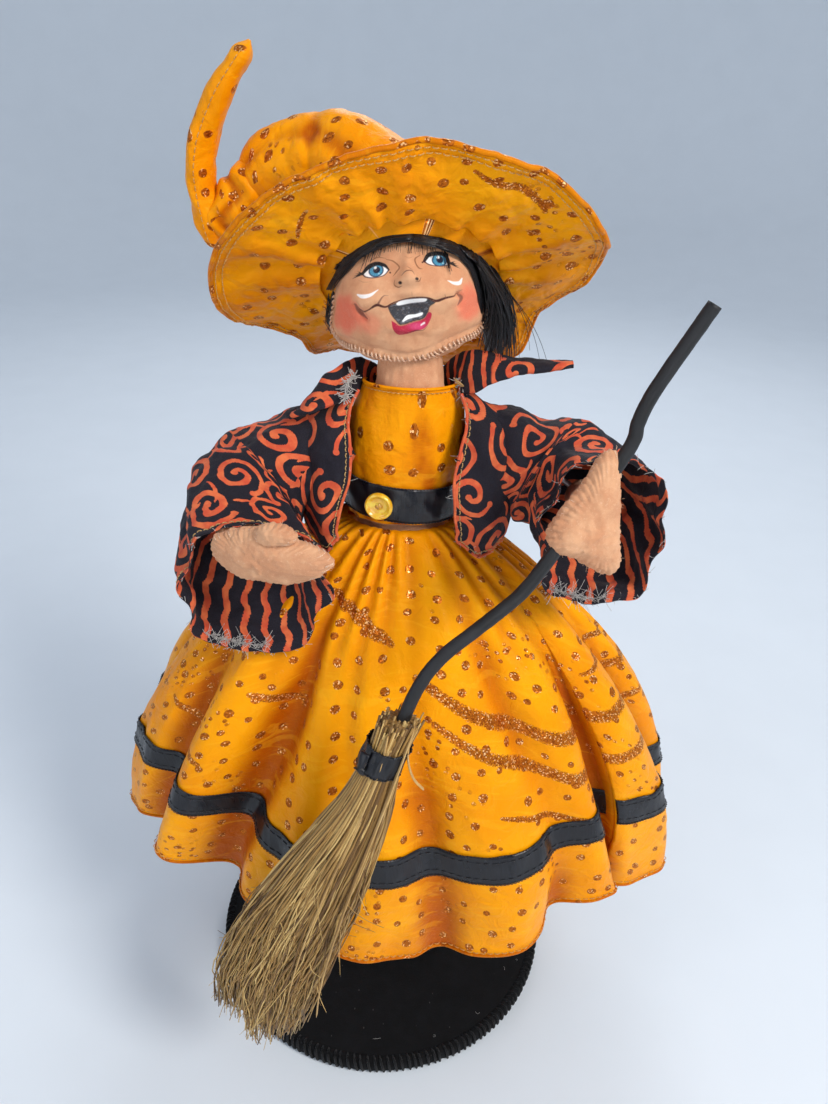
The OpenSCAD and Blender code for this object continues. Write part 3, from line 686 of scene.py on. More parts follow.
def handle_finish(name):
    """Matt charcoal covering, slightly pitted and rubbed."""
    s = Shader(name, Roughness=0.62)
    at = s.mm()
    pit = s.noise(at, 0.6, 4.0, 0.65)
    rub = s.noise(at, 7.0, 3.0, 0.6)
    colour = s.mix(s.step(rub, 0.35, 0.75), (0.006, 0.006, 0.007), (0.018, 0.018, 0.021))
    s.set(Base_Color=colour, Specular_IOR_Level=0.45,
          Roughness=s.step(rub, 0.3, 0.7, 0.5, 0.72), Normal=s.relief(pit, 0.09, 0.6))
    return s.mat


def amber(name):
    """Cast translucent amber plastic with a slightly worn polish."""
    s = Shader(name, Roughness=0.16)
    at = s.mm()
    cloud = s.noise(at, 1.6, 3.0, 0.6)
    scuff = s.noise(at, 0.25, 3.0, 0.7)
    colour = s.mix(s.step(cloud, 0.35, 0.7), (0.80, 0.42, 0.012), (0.95, 0.66, 0.06))
    s.set(Base_Color=colour, Coat_Weight=0.6, Coat_Roughness=0.08, Specular_IOR_Level=0.6,
          Subsurface_Weight=0.6, Subsurface_Radius=(0.002, 0.0012, 0.0003),
          Subsurface_Scale=0.6, Transmission_Weight=0.12,
          Roughness=s.step(scuff, 0.35, 0.75, 0.1, 0.28), Normal=s.relief(cloud, 0.12, 0.3))
    return s.mat


def wire(name):
    """Galvanised wire: grey zinc bloom with drawn lines and dull scratches."""
    s = Shader(name, Metallic=0.9, Roughness=0.4)
    at = s.mm()
    bloom = s.noise(at, 2.5, 4.0, 0.65)
    drawn = s.noise(s.scaled(at, (8, 8, 0.6)), 1.0, 2.0, 0.5)
    colour = s.mix(s.step(bloom, 0.35, 0.7), (0.30, 0.31, 0.33), (0.56, 0.57, 0.60))
    s.set(Base_Color=colour, Roughness=s.step(drawn, 0.3, 0.7, 0.3, 0.52),
          Normal=s.relief(drawn, 0.04, 0.5))
    return s.mat


def board(name):
    """Pressed fibre board under the felt."""
    s = Shader(name, Roughness=0.85)
    at = s.mm()
    fibre = s.noise(s.scaled(at, (1, 1, 4)), 0.9, 4.0, 0.7, 1.0)
    colour = s.mix(s.step(fibre, 0.3, 0.7), (0.16, 0.10, 0.055), (0.30, 0.21, 0.13))
    s.set(Base_Color=colour, Normal=s.relief(fibre, 0.15, 0.6))
    return s.mat


def studio(name):
    """Pale matt floor with a barely visible grain."""
    s = Shader(name, Roughness=0.75)
    grain = s.noise(s.mm(), 40.0, 3.0, 0.5)
    s.set(Base_Color=s.mix(grain, (0.70, 0.75, 0.80), (0.74, 0.79, 0.84)),
          Specular_IOR_Level=0.2)
    return s.mat


SKIN = ((0.74, 0.40, 0.22), (0.62, 0.29, 0.15), (0.92, 0.66, 0.47))
M = {
    "skin": felt("flesh_felt", *SKIN, fuzz=0.45),
    "face": felt("painted_felt", *SKIN, fuzz=0.16, painted="paint"),
    "black": felt("black_felt", (0.004, 0.004, 0.005), (0.002, 0.002, 0.0025),
                  (0.016, 0.016, 0.018), fuzz=0.3, lint=0.12, sheen=0.12),
    "knit": felt("black_knit", (0.016, 0.015, 0.017), (0.008, 0.008, 0.009),
                 (0.05, 0.048, 0.055), fuzz=0.4),
    # the second colour of each organza is its painted shade for the valleys of folds
    "gold": organza("gold_organza", (0.83, 0.265, 0.001), (0.42, 0.075, 0.001),
                    (0.92, 0.35, 0.002)),
    "lining": organza("gold_lining", (0.78, 0.24, 0.001), (0.40, 0.08, 0.001),
                      (0.88, 0.32, 0.002), dots=False),
    "satin": satin("black_satin"),
    "print": printed("swirl_cotton"),
    "hair": hair_finish("black_hair"),
    "handle": handle_finish("charcoal_handle"),
    "straw": straw("broom_straw", (0.10, 0.045, 0.009), (0.34, 0.185, 0.042),
                   (0.62, 0.42, 0.15)),
    "splint": straw("broom_splint", (0.24, 0.125, 0.035), (0.52, 0.31, 0.10),
                    (0.70, 0.48, 0.20)),
    "amber": amber("amber_button"),
    "steel": wire("armature_steel"),
    "board": board("stand_board"),
    "yarn": thread("black_yarn", (0.002, 0.002, 0.0025), (0.009, 0.009, 0.011), 0.9),
    "skin_yarn": thread("flesh_yarn", (0.70, 0.40, 0.24), (0.95, 0.74, 0.56), 0.8),
    "gold_thread": thread("gold_thread", (0.55, 0.26, 0.05), (0.85, 0.50, 0.16), 0.45),
    "tan_thread": thread("tan_thread", (0.42, 0.25, 0.09), (0.72, 0.48, 0.20), 0.5),
    "black_thread": thread("black_thread", (0.006, 0.006, 0.008), (0.05, 0.05, 0.06), 0.4),
    "fray": thread("frayed_thread", (0.42, 0.40, 0.38), (0.80, 0.78, 0.74), 0.8),
    "floor": studio("floor"),
}


def finish_piece(obj, body, slot, *nodes):
    """Rides obj on its body and hides the CAD nodes that it stands for; slot is not used."""
    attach(obj, body)
    if nodes:
        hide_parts(*nodes)
    return obj


def sew(body, slot, name, paths, radius, finish, sides=6, values=None, *nodes):
    """A piece made of many threads, tubes or hems."""
    finish_piece(tubes(name, paths, radius, M[finish], sides, values), body, slot, *nodes)


for node_name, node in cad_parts.items():
    if node_name.endswith("wire") or "_wire_" in node_name or node_name == "head_pin":
        node.data.materials.clear()
        node.data.materials.append(M["steel"])
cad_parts["base_board"].data.materials.clear()
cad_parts["base_board"].data.materials.append(M["board"])


# ---------- stand, boots and legs ----------

def disc_grid(radius, rings, sides):
    r = radius * np.linspace(0.004, 1, rings) ** 0.9
    a = around(sides)
    return np.stack([r[:, None] * cos(a), r[:, None] * sin(a), np.zeros((rings, sides))], 2)


def make_stand():
    random = np.random.default_rng(11)
    top = disc_grid(55.9, 64, 200)
    radius = np.linalg.norm(top[..., :2], axis=2)
    top[..., 2] = 5.98 + 0.12 * fractal(top, 9, 3) + 0.05 * fractal(top, 1.6, 5, 2)
    top[..., 2] -= 0.5 * smoothstep(52, 56, radius)
    under = disc_grid(55.8, 12, 200)[::-1] + [0, 0, 4.9]
    finish_piece(solid("stand_top_felt", np.concatenate([top, under]), M["black"]), "stand",
                 "black_felt", "base_felt_top")
    low = disc_grid(55.6, 16, 160)
    sole = np.concatenate([low + [0, 0, 1.0], (low + [0, 0, 0.02])[::-1]])
    finish_piece(solid("stand_bottom_felt", sole, M["black"]), "stand", "black_felt",
                 "base_felt_bottom")
    a = around(480)
    lumps = 0.12 * sin(118 * a) + 0.1 * fractal(np.stack([40 * cos(a), 40 * sin(a), 0 * a], 1),
                                               3, 8, 2)
    section = []
    for z, out in ((0.15, 55.3), (0.6, 56.1), (1.8, 56.5), (3.2, 56.55), (4.6, 56.4),
                   (5.6, 55.9), (6.0, 55.0), (5.7, 54.2), (1.0, 54.2)):
        r = out + lumps
        section.append(np.stack([r * cos(a), r * sin(a), z + 0 * a], 1))
    section.append(section[0])
    band = np.array(section)
    quads, where = grid_faces(len(band), band.shape[1], True)
    uv = grid_uv(band, True)
    ring = new_object("stand_edge_felt", band[:-1].reshape(-1, 3),
                      quads % ((len(band) - 1) * band.shape[1]), M["black"],
                      uv[where[..., 0], where[..., 1]].reshape(-1, 2))
    turn_out(ring)
    finish_piece(ring, "stand", "black_felt", "base_edge_stitch")
    loops, count = [], 168
    for k in range(count):
        angle = TAU * k / count + random.normal(0, 0.004)
        lean = 0.026 + random.normal(0, 0.004)
        t = np.linspace(0, 1, 9)
        r = 54.3 + 2.6 * sin(pi * t) ** 0.5
        z = 6.25 - 6.0 * smoothstep(0.1, 0.95, t) - 0.1 * t
        z[0] -= 0.8
        r[0] += 0.1
        turn = angle + lean * (t - 0.5)
        loops.append(np.stack([r * cos(turn), r * sin(turn), np.maximum(z, 0.5)], 1))
    sew("stand", "black_felt", "stand_whip_stitch", loops, 0.42, "yarn", 7)
    lint = []
    for _ in range(46):
        spot = random.uniform(-1, 1, 2) * 53
        if np.hypot(*spot) > 53:
            continue
        turn, bend = random.uniform(0, TAU), random.normal(0, 1.2, 2)
        length = random.uniform(0.6, 3.2)
        t = np.linspace(-0.5, 0.5, 5)
        heading = turn + bend[0] * t
        lint.append(np.stack([spot[0] + length * t * cos(heading),
                              spot[1] + length * t * sin(heading),
                              6.12 + 0.15 * (1 - (2 * t) ** 2)], 1))
    sew("stand", "black_felt", "stand_lint", lint, 0.035, "fray", 4)


def make_boot(side, name):
    x = 13 * side
    rows = [(6.05, 3, -6.2, 6.6, 11.6), (6.5, 3, -6.2, 7.3, 12.3), (8.2, 2.9, -6.2, 7.4, 12.3),
            (10.5, 2.5, -5.6, 6.7, 11.3), (13, 1.8, -4.2, 5.9, 9.4), (16, 1.0, -2.0, 5.4, 7.2),
            (20, 0.3, -0.6, 5.0, 5.6), (25, 0, 0, 4.9, 5.1), (29.2, 0, 0, 5.0, 5.1),
            (30, 0, 0, 4.4, 4.5), (28.6, 0, 0, 3.4, 3.5)]
    path = smooth_path([(x + dx * side * 0.6, y, z, a, b) for z, dx, y, a, b in rows], 46)
    a = around(60)
    P = ellipses(path, a)
    crease = 0.35 * sin(2.2 * P[..., 2] + 1.5 * sin(a)) * bump(P[..., 2], 17, 5)
    P[..., :2] += (unit(P - path[:, None, :3])[..., :2]
                   * (crease + 0.12 * fractal(P, 2.5, 21 + side, 2))[..., None])
    boot = finish_piece(solid(name + "_felt", P, M["black"]), "stand", "black_felt", name)
    welt = looped(P[3] + unit(P[3] - path[3, :3]) * 0.1)
    seam = stitches(welt, unit(welt - path[3, :3]), 1.5, 1.1, 0.0, 0.3)
    sew("stand", "black_felt", name + "_seam", seam, 0.2, "yarn", 5)


def make_leg(side, name):
    x = 15.3 * side
    z = np.linspace(38, 108, 60)
    radius = 4.2 + 2.2 * (z - 38) / 70
    radius = radius * np.clip(1.2 * np.sqrt(np.clip((z - 37.4) / 3, 0, 1)), 0, 1)
    radius = radius * np.clip(1.2 * np.sqrt(np.clip((108.6 - z) / 3, 0, 1)), 0, 1)
    P = rings_along(np.stack([x + 0 * z, 0 * z, z], 1), radius, radius, 40, (0, 1, 0))
    P[..., :2] += (0.22 * fractal(P, 5, 31 + side) + 0.1 * sin(1.9 * P[..., 2])
                   * bump(P[..., 2], 70, 8))[..., None] * unit(P - [x, 0, 0])[..., :2]
    leg = finish_piece(solid(name + "_felt", P, M["knit"]), "legs", "black_knit", name)
    back = P[3:-3, 10]
    seam = stitches(back, np.broadcast_to([0, 1.0, 0], back.shape), 2.2, 1.5, 0, 0.2)
    sew("legs", "black_knit", name + "_seam", seam, 0.16, "yarn", 5)


def make_hips():
    rows = [(108.4, 0, 16, 6), (110, 0, 20.5, 9), (113, 0.2, 23, 10.6), (118, .5, 23.6, 11.4),
            (124, .9, 22.6, 11.4), (132, 1.6, 18.6, 11), (140, 2.3, 14.6, 10),
            (146, 2.8, 12.8, 9.6), (148, 3, 11, 8.6)]
    path = smooth_path([(x, -3, z, a, b) for z, x, a, b in rows], 50)
    a = around(72)
    P = ellipses(path, a)
    cleft = 0.8 * bump(P[..., 0], 0.5, 2.2) * bump(P[..., 2], 110, 8)
    P[..., 1] -= np.sign(P[..., 1] + 3) * cleft
    P += (0.3 * fractal(P, 8, 41))[..., None] * unit(P - [1, -3, 125])
    hips = finish_piece(solid("hips_felt", P, M["skin"]), "legs", "flesh_felt", "hips")
    seams = []
    for j in (0, 36):
        line = P[2:-2, j]
        seams += stitches(line, outward(line, (1, -3, 0)), 1.8, 1.5, 0.5, 0.35)
    sew("legs", "flesh_felt", "hips_seam", seams, 0.2, "skin_yarn", 5)


# ---------- trunk and bodice ----------

def trunk_surface(angle, z, off):
    """The trunk's surface at an angle in degrees and a height, off mm out."""
    a = np.radians(angle)
    return np.stack([along(TRUNK_X, z) + (smooth_along(TRUNK_A, z, 1.5) + off) * cos(a),
                     along(TRUNK_Y, z) + (smooth_along(TRUNK_B, z, 1.5) + off) * sin(a),
                     z + 0 * a], -1)


def make_trunk():
    z = np.r_[149.6, 150.4, np.linspace(152, 200, 44), 201.2, 202.2, 202.9]
    angle = np.linspace(0, 360, 72, endpoint=False)
    Z, A = np.meshgrid(z, angle, indexing="ij")
    shrink = -0.7 - 3.0 * bump(Z, 149.4, 0.8) - 3.0 * bump(Z, 203.2, 0.8)
    P = trunk_surface(A, Z, shrink + 0.25 * fractal(trunk_surface(A, Z, 0), 9, 51))
    torso = finish_piece(solid("torso_felt", P, M["skin"]), "trunk", "flesh_felt", "torso")


def make_bodice():
    z = np.linspace(173.4, 203.4, 70)
    angle = from_behind(200)
    Z, A = np.meshgrid(z, angle, indexing="ij")
    a = np.radians(A)
    yoke = smoothstep(195.5, 203.4, Z)
    base = trunk_surface(A, Z, 0)
    gathers = (sin(13 * a + 2.2 * sin(2 * a) + 0.12 * (Z - 173)) * 0.45
               * (smoothstep(196, 175, Z) * 0.8 + 0.2))
    pulls = 0.5 * fractal(base * [1, 1, 0.45], 5.5, 61) + 0.18 * fractal(base, 2.0, 62)
    neckline = 0.35 * bump(Z, 203.4, 0.8)
    off = 1.15 + 0.55 * gathers + 0.55 * pulls + neckline
    P = trunk_surface(A, Z, np.maximum(off, 0.5))
    neck = np.stack([3 + 10.4 * cos(a), -5 + 9.5 * sin(a), 0 * a], -1)
    P[..., :2] += (neck - P)[..., :2] * (yoke ** 1.8)[..., None]
    P[..., 0] += 2.4 * cos(a) ** 3 * bump(Z, 200.5, 3.2)
    P[..., 2] += 5.0 * yoke + 0.9 * np.maximum(0, -sin(a)) * yoke
    # painted shade: the hollows of gathers and pulls take the deep colour
    fold = np.clip(0.5 + 0.8 * gathers + 0.5 * pulls, 0, 1)
    uv = np.stack([np.linspace(-42, 42, 201)[None, :] + 0 * z[:, None],
                   (z[:, None] - 173) + np.zeros(201)], 2)
    bodice = cloth("bodice_cloth", P[::-1], 0.35, M["gold"], M["lining"], True, uv[::-1],
                   values={"fold": fold[::-1], "glitter": np.zeros_like(fold)})
    finish_piece(bodice, "trunk", "gold_organza", "bodice")
    edge = looped(P[-1] + unit(P[-1] - [3, -5, 209]) * [0.2, 0.2, 0])
    sew("trunk", "gold_organza", "neckline_hem", [edge], 0.42, "gold", 8,
        {"fold": [0.8], "glitter": [0.0]})
    rim = edge - [0, 0, 1.1]
    thread_line = stitches(rim, outward(rim, TRUNK_AXIS), 1.25, 0.95, 0, 0.3)
    sew("trunk", "gold_organza", "neckline_stitch", thread_line, 0.13, "gold_thread", 5)


def make_belt():
    angle = from_behind(180)
    edge = np.linspace(-1, 1, 15)
    E, A = np.meshgrid(edge, angle, indexing="ij")
    a = np.radians(A)
    crumple = 0.22 * sin(9 * a + 3 * E) * (1 - E ** 2) + 0.18 * fractal(
        np.stack([14 * cos(a), 14 * sin(a), 4 * E], -1), 3.0, 71, 2)
    P = trunk_surface(A, 179.6 + 0 * A, 2.25 + crumple - 0.25 * E ** 2)
    P[..., 2] = 179.6 + E * 9.5 / 2 - 0.08 * P[..., 0]
    belt = cloth("belt_satin", P[::-1], 0.22, M["satin"], M["satin"], True)
    finish_piece(belt, "trunk", "black_satin", "waist_ribbon")
    picots = []
    for row in (0, -1):
        line = looped(P[row])
        picots += stitches(line, outward(line, (2, -5, 0)), 0.9, 0.75,
                           0.0, 0.16, sides=5)
    sew("trunk", "black_satin", "waist_ribbon_picot", picots, 0.12, "black_thread", 5)


def make_button():
    """Amber button: raised rim, dished middle and crossed thread."""
    profile = [(0.02, 0.95), (0.5, 0.95), (0.62, 0.75), (0.9, 0.75), (1.05, 0.95), (1.9, 1.02),
               (2.5, 1.2), (2.85, 1.55), (3.1, 1.66), (3.4, 1.5), (3.6, 1.1), (3.6, 0.45),
               (3.4, 0.15), (3.0, 0.02), (0.02, 0.02)]
    path = smooth_path(profile, 60)
    a = around(64)
    P = turned(path, a)
    turn = np.radians(-12)
    front = np.array([sin(turn), -cos(turn), 0.0])
    over = np.cross([0, 0, 1], front)
    up = np.array([0, 0, 1.0])
    centre = np.array([-3.6, -18.1, 180.0])

    def place(Q):
        return centre + Q[..., :1] * over + Q[..., 1:2] * up + Q[..., 2:] * front

    finish_piece(solid("amber_button", place(P), M["amber"]), "trunk", "amber_button",
                 "waist_button")
    knot = []
    for k in range(4):
        side = k % 2 * 0.16 - 0.08
        t = np.linspace(-1, 1, 9)
        way = np.array([cos(0.5 * k), sin(0.5 * k)])
        knot.append(place(np.stack([way[0] * 0.75 * t + side, way[1] * 0.75 * t - side,
                                    1.18 - 0.35 * t ** 2], 1)))
    sew("trunk", "amber_button", "waist_button_thread", knot, 0.15, "gold_thread", 6)


# ---------- skirt ----------

SKIRT_TOP = 172.0
# Standing folds of the skirt: angle in degrees, half width, height out, drift on the way down
FOLDS = [(196, 8, 1.0, -6), (212, 5, -7.0, -5), (225, 6, 6.0, -4), (239, 5.5, -9.0, -8),
         (250, 4.2, 5.0, 0), (263, 6, 3.4, 3), (274, 4.5, -4.5, 6), (287, 8, 4.2, 8),
         (300, 4.0, -4.6, 9), (310, 6, 4.0, 6), (322, 4.2, -11.0, 2), (336, 8, 6.0, 4),
         (350, 4, -6.5, 2), (3, 8, 5.2, 2), (17, 4, -6.0, 3), (31, 8, 5.2, 0),
         (47, 4.5, -6.5, -2), (62, 9, 5.4, 2), (78, 4.5, -6.5, 1), (93, 8, 5.2, -2),
         (108, 4.5, -6.5, 0), (124, 9, 5.4, -3), (141, 5, -6.8, 1), (157, 8, 5.2, 1),
         (174, 5, -5.0, 2), (184, 5, -3.0, 2)]


def hem_lift(a):
    """How far the hem is lifted at angle a in radians."""
    def lifted(c, h, n):
        return h * np.maximum(0, cos(a - np.radians(c))) ** n
    return lifted(190, 9, 4) + lifted(222, 10, 10) - lifted(273, 7, 8) + lifted(313, 10, 40)


def skirt_surface(angle, t, off=0.0, folds=1.0):
    """The skirt at an angle in degrees and a share t of the way down, and a measure that sets the
    painted shade in the valleys of its folds.
    """
    a = np.radians(angle)
    s = sin(pi / 2 * np.clip(t, 0, 1.05) ** 0.8)
    cx = along(TRUNK_X, SKIRT_TOP) * (1 - s) + 4 * s
    cy = along(TRUNK_Y, SKIRT_TOP) * (1 - s) - 1 * s
    rx = (along(TRUNK_A, SKIRT_TOP) + 1.6) * (1 - s) + 86 * s
    ry = (along(TRUNK_B, SKIRT_TOP) + 1.6) * (1 - s) + 51 * s
    depth = np.zeros(np.shape(a))
    for centre, width, height, drift in FOLDS:
        middle = centre + drift * (t - 0.5) + 3.0 * sin(4.5 * t + centre)
        broad = width * (1.15 - 0.25 * t)
        depth = depth + height * np.exp(-np.abs(wrap(angle - middle) / broad) ** 2.4)
    grow = smoothstep(0.02, 0.5, t) * (0.55 + 0.45 * t)
    gather = (sin(34 * a + 3 * sin(3 * a) + 2 * sin(7 * a)) * smoothstep(-0.02, 0.04, t)
              * smoothstep(0.6, 0.08, t))
    round_it = np.stack([40 * cos(a), 40 * sin(a), 60 * t + 0 * a], -1)
    crinkle = (0.9 * fractal(round_it * [1, 1, 0.5], 11, 81) * smoothstep(0, 0.4, t)
               + 0.35 * fractal(round_it, 3.4, 85, 2) * smoothstep(0, 0.2, t))
    out = off + folds * (depth * grow + (0.75 - 0.3 * t) * gather + crinkle)
    lap = folds * np.radians(2.2) * grow * np.sign(324 - angle) * bump(wrap(angle - 322), 0, 9)
    p = np.stack([cx + (rx + out) * cos(a + lap), cy + (ry + out) * sin(a + lap),
                  SKIRT_TOP * (1 - t) + (57 - 3 * cos(a)) * t + hem_lift(a) * t ** 2 + 0 * out],
                 -1)
    p[..., 2] += folds * 0.28 * depth * grow * smoothstep(0.3, 1, t)
    # second value: painted shade, low in the valleys of folds, gathers and crinkles
    return p, depth * grow / 5 + 0.35 * gather + 0.3 * crinkle


def arc_mask(angle, height, points, width):
    """How near each place is to a streak through [angle, height] pairs."""
    points = smooth_path(np.array([[x, y, 0] for x, y in points], float), 60)
    best = np.full(np.shape(angle), 1e9)
    for k in range(len(points)):
        swell = 0.45 + 0.55 * math.sin(pi * (k + 1) / (len(points) + 1)) ** 0.6
        best = np.minimum(best, np.hypot(angle - points[k, 0], height - points[k, 1])
                          / swell)
    return np.clip(1.2 - best / width, 0, 1)


def make_skirt():
    columns, rows = 900, 190
    t = np.r_[0.0, 0.008, 0.016, 0.026, np.linspace(0.036, 1.0, rows - 4)]
    angle = from_behind(columns)
    T, A = np.meshgrid(t, angle, indexing="ij")
    P, fold = skirt_surface(A, T)
    mean_radius = 12 + 62 * sin(pi / 2 * T ** 0.8)
    across = np.radians(wrap(A - 270)) * mean_radius
    Z = P[..., 2]
    streaks = [([(-17, 158), (-9, 153), (-2, 147)], 2.2),
               ([(-36, 130), (-30, 128.5), (-24, 128)], 1.6),
               ([(4, 139), (22, 127), (44, 120), (70, 124), (96, 131)], 2.6),
               ([(8, 128), (24, 117), (48, 108), (76, 110), (104, 120)], 2.4),
               ([(50, 133), (70, 136), (92, 142)], 1.4), ([(24, 102), (44, 96), (60, 95)], 1.3),
               ([(-70, 118), (-58, 112), (-48, 110)], 1.6),
               ([(-130, 130), (-150, 120), (-170, 118), (-188, 124)], 2.4),
               ([(120, 112), (140, 104), (165, 102)], 2.4)]
    glitter = np.zeros_like(A)
    for points, width in streaks:
        glitter = np.maximum(glitter, arc_mask(across, Z, points, width))
    gone = grid_uv(P, True)
    reach = 27 + np.cumsum(np.r_[0, np.diff(gone[:, columns // 2, 1])])[:, None]
    turn = (gone[..., 0] - gone[:, columns // 2, None, 0]) / reach
    uv = np.stack([reach * sin(turn), -reach * cos(turn)], 2)
    # painted shade in the valleys of the skirt's folds
    skirt = cloth("outer_skirt", P, 0.4, M["gold"], M["lining"], True, uv,
                  values={"fold": np.clip(0.55 + 0.5 * fold, 0, 1), "glitter": glitter})
    finish_piece(skirt, "trunk", "gold_organza", "skirt")
    hem = looped(P[-1])
    # painted shade: the rolled hem is given a low shade value, so it takes the deep colour
    sew("trunk", "gold_organza", "skirt_hem_roll", [hem + [0, 0, 0.25]], 0.5, "gold", 8,
        {"fold": [0.2], "glitter": [0.0]})
    line = hem + outward(hem, SKIRT_AXIS) * 0.35 + [0, 0, 1.6]
    finish_piece(tubes("skirt_hem_stitch",
                       stitches(line, outward(line, SKIRT_AXIS), 2.1, 1.5, 0, 0.25,
                                sides=5), 0.14, M["gold_thread"], 5), "trunk", "gold_organza")
    inner_t = np.linspace(0.07, 0.96, 60)
    T2, A2 = np.meshgrid(inner_t, from_behind(360),
                         indexing="ij")
    Q, fold2 = skirt_surface(A2, T2, -2.6, 0.72)
    # painted shade in the valleys of the underskirt's folds
    lining = cloth("underskirt_cloth", Q, 0.35, M["lining"], M["lining"], True,
                   values={"fold": np.clip(0.5 + 0.5 * fold2, 0, 1),
                           "glitter": np.zeros_like(fold2)})
    finish_piece(lining, "trunk", "gold_lining", "underskirt")


def make_skirt_ribbon():
    columns = 900
    t = np.linspace(0.683, 0.76, 11)
    angle = from_behind(columns)
    T, A = np.meshgrid(t, angle, indexing="ij")
    middle = (T - 0.7215) / 0.0385
    P, _ = skirt_surface(A, T, 0.55)
    pucker = 0.16 * fractal(P * [1, 1, 0.3], 2.6, 91, 2) * (1 - middle ** 2 * 0.6)
    P[..., :2] += outward(P, SKIRT_AXIS)[..., :2] * pucker[..., None]
    ribbon = cloth("skirt_ribbon_satin", P, 0.2, M["satin"], M["satin"], True)
    finish_piece(ribbon, "trunk", "black_satin", "skirt_ribbon")
    picots, seam = [], []
    for row, shift in ((0, 0.1), (-1, -0.1)):
        line = looped(P[row])
        picots += stitches(line + [0, 0, shift], outward(line, SKIRT_AXIS), 1.0, 0.8, 0.0, 0.18,
                           sides=5)
    for row in (2, -3):
        line = looped(P[row])
        out = outward(line, SKIRT_AXIS)
        seam += stitches(line + out * 0.05, out, 2.4, 1.7, 0.0, 0.1, sides=5)
    sew("trunk", "black_satin", "skirt_ribbon_picot", picots + seam, 0.12, "black_thread", 5)


make_stand()
for side_sign, side_name in ((1, "left"), (-1, "right")):
    make_boot(side_sign, "boot_" + side_name)
    make_leg(side_sign, "leg_" + side_name)
make_hips()
make_trunk()
make_bodice()
make_belt()
make_button()
make_skirt()
make_skirt_ribbon()


# ---------- jacket and sleeves ----------

def swirl_print(uv, seed, pitch=14.0):
    """How much ink the print lays at each place, 0 to 1: spirals with round ends, tear drops
    and loose tendrils between them."""
    random = np.random.default_rng(seed)
    flat = uv.reshape(-1, 2)
    ink = np.zeros(len(flat))
    low, high = flat.min(0) - 8, flat.max(0) + 8
    soft = 0.13

    def lay(distance, half):
        np.maximum(ink, smoothstep(soft, -soft, distance - half), out=ink)

    rows = int((high[1] - low[1]) / (pitch * 0.86)) + 1
    columns = int((high[0] - low[0]) / pitch) + 1
    for row in range(rows):
        for column in range(columns):
            centre = low + np.array([pitch * (column + 0.5 * (row % 2)), pitch * 0.86 * row])
            centre = centre + random.normal(0, 1.0, 2)
            hand, start = random.choice([-1, 1]), random.uniform(0, TAU)
            gap, turns = random.uniform(3.3, 3.9), random.uniform(1.55, 1.95)
            fat = random.uniform(0.68, 0.95)
            dx, dy = (flat - centre).T
            rho, phi = np.hypot(dx, dy), (hand * np.arctan2(dy, dx) - start) % TAU
            for lap in range(3):
                theta = phi + TAU * lap
                inside = (theta > 1.6) & (theta < turns * TAU)
                swell = fat * (0.78 + 0.32 * sin(pi * np.clip(theta / (turns * TAU), 0, 1)))
                away = np.abs(rho - gap * theta / TAU)
                lay(np.where(inside, away, 9), swell)
            for theta, size in ((1.6, 1.2), (turns * TAU, 1.15)):
                r, at = gap * theta / TAU, hand * (theta + start)
                lay(np.hypot(dx - r * cos(at), dy - r * sin(at)), fat * size)
            tail = centre + (gap * turns + 1.6) * np.array([cos(start + 2), sin(start + 2)])
            bend, reach = random.uniform(3.2, 5.5), random.uniform(1.2, 2.2)
            spin = random.uniform(0, TAU)
            hub = tail + bend * np.array([cos(spin), sin(spin)])
            tx, ty = (flat - hub).T
            turn = wrap(np.degrees(np.arctan2(ty, tx) - spin - pi)) / 57.3
            part = np.clip((turn + reach / 2) / reach, 0, 1)
            thin = np.where(np.abs(turn) < reach / 2, 0.78 * np.sqrt(part) * (1 - part) ** 0.5, -9)
            lay(np.abs(np.hypot(tx, ty) - bend), thin * 1.25)
    return ink.reshape(uv.shape[:-1])


def stripe_print(uv, width=3.3):
    """Stripes across the cloth's first direction, slightly uneven."""
    at = uv[..., 0] / width + 0.06 * sin(uv[..., 1] * 0.9)
    return smoothstep(-0.12, 0.12, cos(TAU * at) - 0.48)


def ink_colours(ink):
    return np.stack([ink, 0 * ink, 0 * ink], -1)


def printed_cloth(name, P, thick, seed, closed=False, inner=None, centre=None):
    """Printed cloth on the grid P, with its own print on the inner side where inner is given."""
    uv = grid_uv(P, closed)
    ink = swirl_print(uv[:, :P.shape[1]], seed)
    return cloth(name, P, thick, M["print"], M["print"], closed, uv,
                 colours={"print": ink_colours(ink)}, centre=centre,
                 inside=None if inner is None else
                 {"print": ink_colours(inner(uv[:, :P.shape[1]]))})


JACKET_OFF = [[169.5, 8.6], [174, 6.0], [180, 3.7], [190, 2.8], [203, 2.0]]


def jacket_surface(angle, z):
    a = np.radians(angle)
    base = trunk_surface(angle, z, 0)
    off = smooth_along(JACKET_OFF, z, 3) + 0.45
    folds = 0.7 * fractal(base * [1, 1, 0.35], 9, 101) + 0.25 * fractal(base, 3.2, 105, 2)
    hang = 0.8 * sin(5 * a + 0.6) * smoothstep(190, 172, z)
    return trunk_surface(angle, z, off + folds + np.maximum(hang, -0.4))


# Edges of the open fronts by height: inner x, inner y, outer x, outer y
FRONTS = {
    1: [[167.5, 20.5, -18.5, 27.5, -14], [172, 16.4, -19.6, 29.5, -14.5],
        [178, 14.8, -19.4, 31.0, -14], [186, 15.0, -18.6, 31.5, -13], [194, 16.6, -17.2, 31, -12],
        [200, 17.2, -15.4, 28.5, -10], [204, 16.6, -12.6, 23, -8], [207.5, 14.8, -9.4, 17.6, -5.5]],
    -1: [[167.5, -15.4, -18.5, -20, -13], [172, -14.2, -19.4, -23, -13.5],
         [178, -12.8, -19.4, -24.6, -13], [186, -11.6, -18.6, -25, -12.5],
         [194, -11.8, -17.2, -24.8, -11.5], [200, -11.8, -15.4, -22.5, -10],
         [204, -10.8, -12.6, -17.5, -8], [207.5, -8.6, -9.4, -11.6, -5.5]],
}


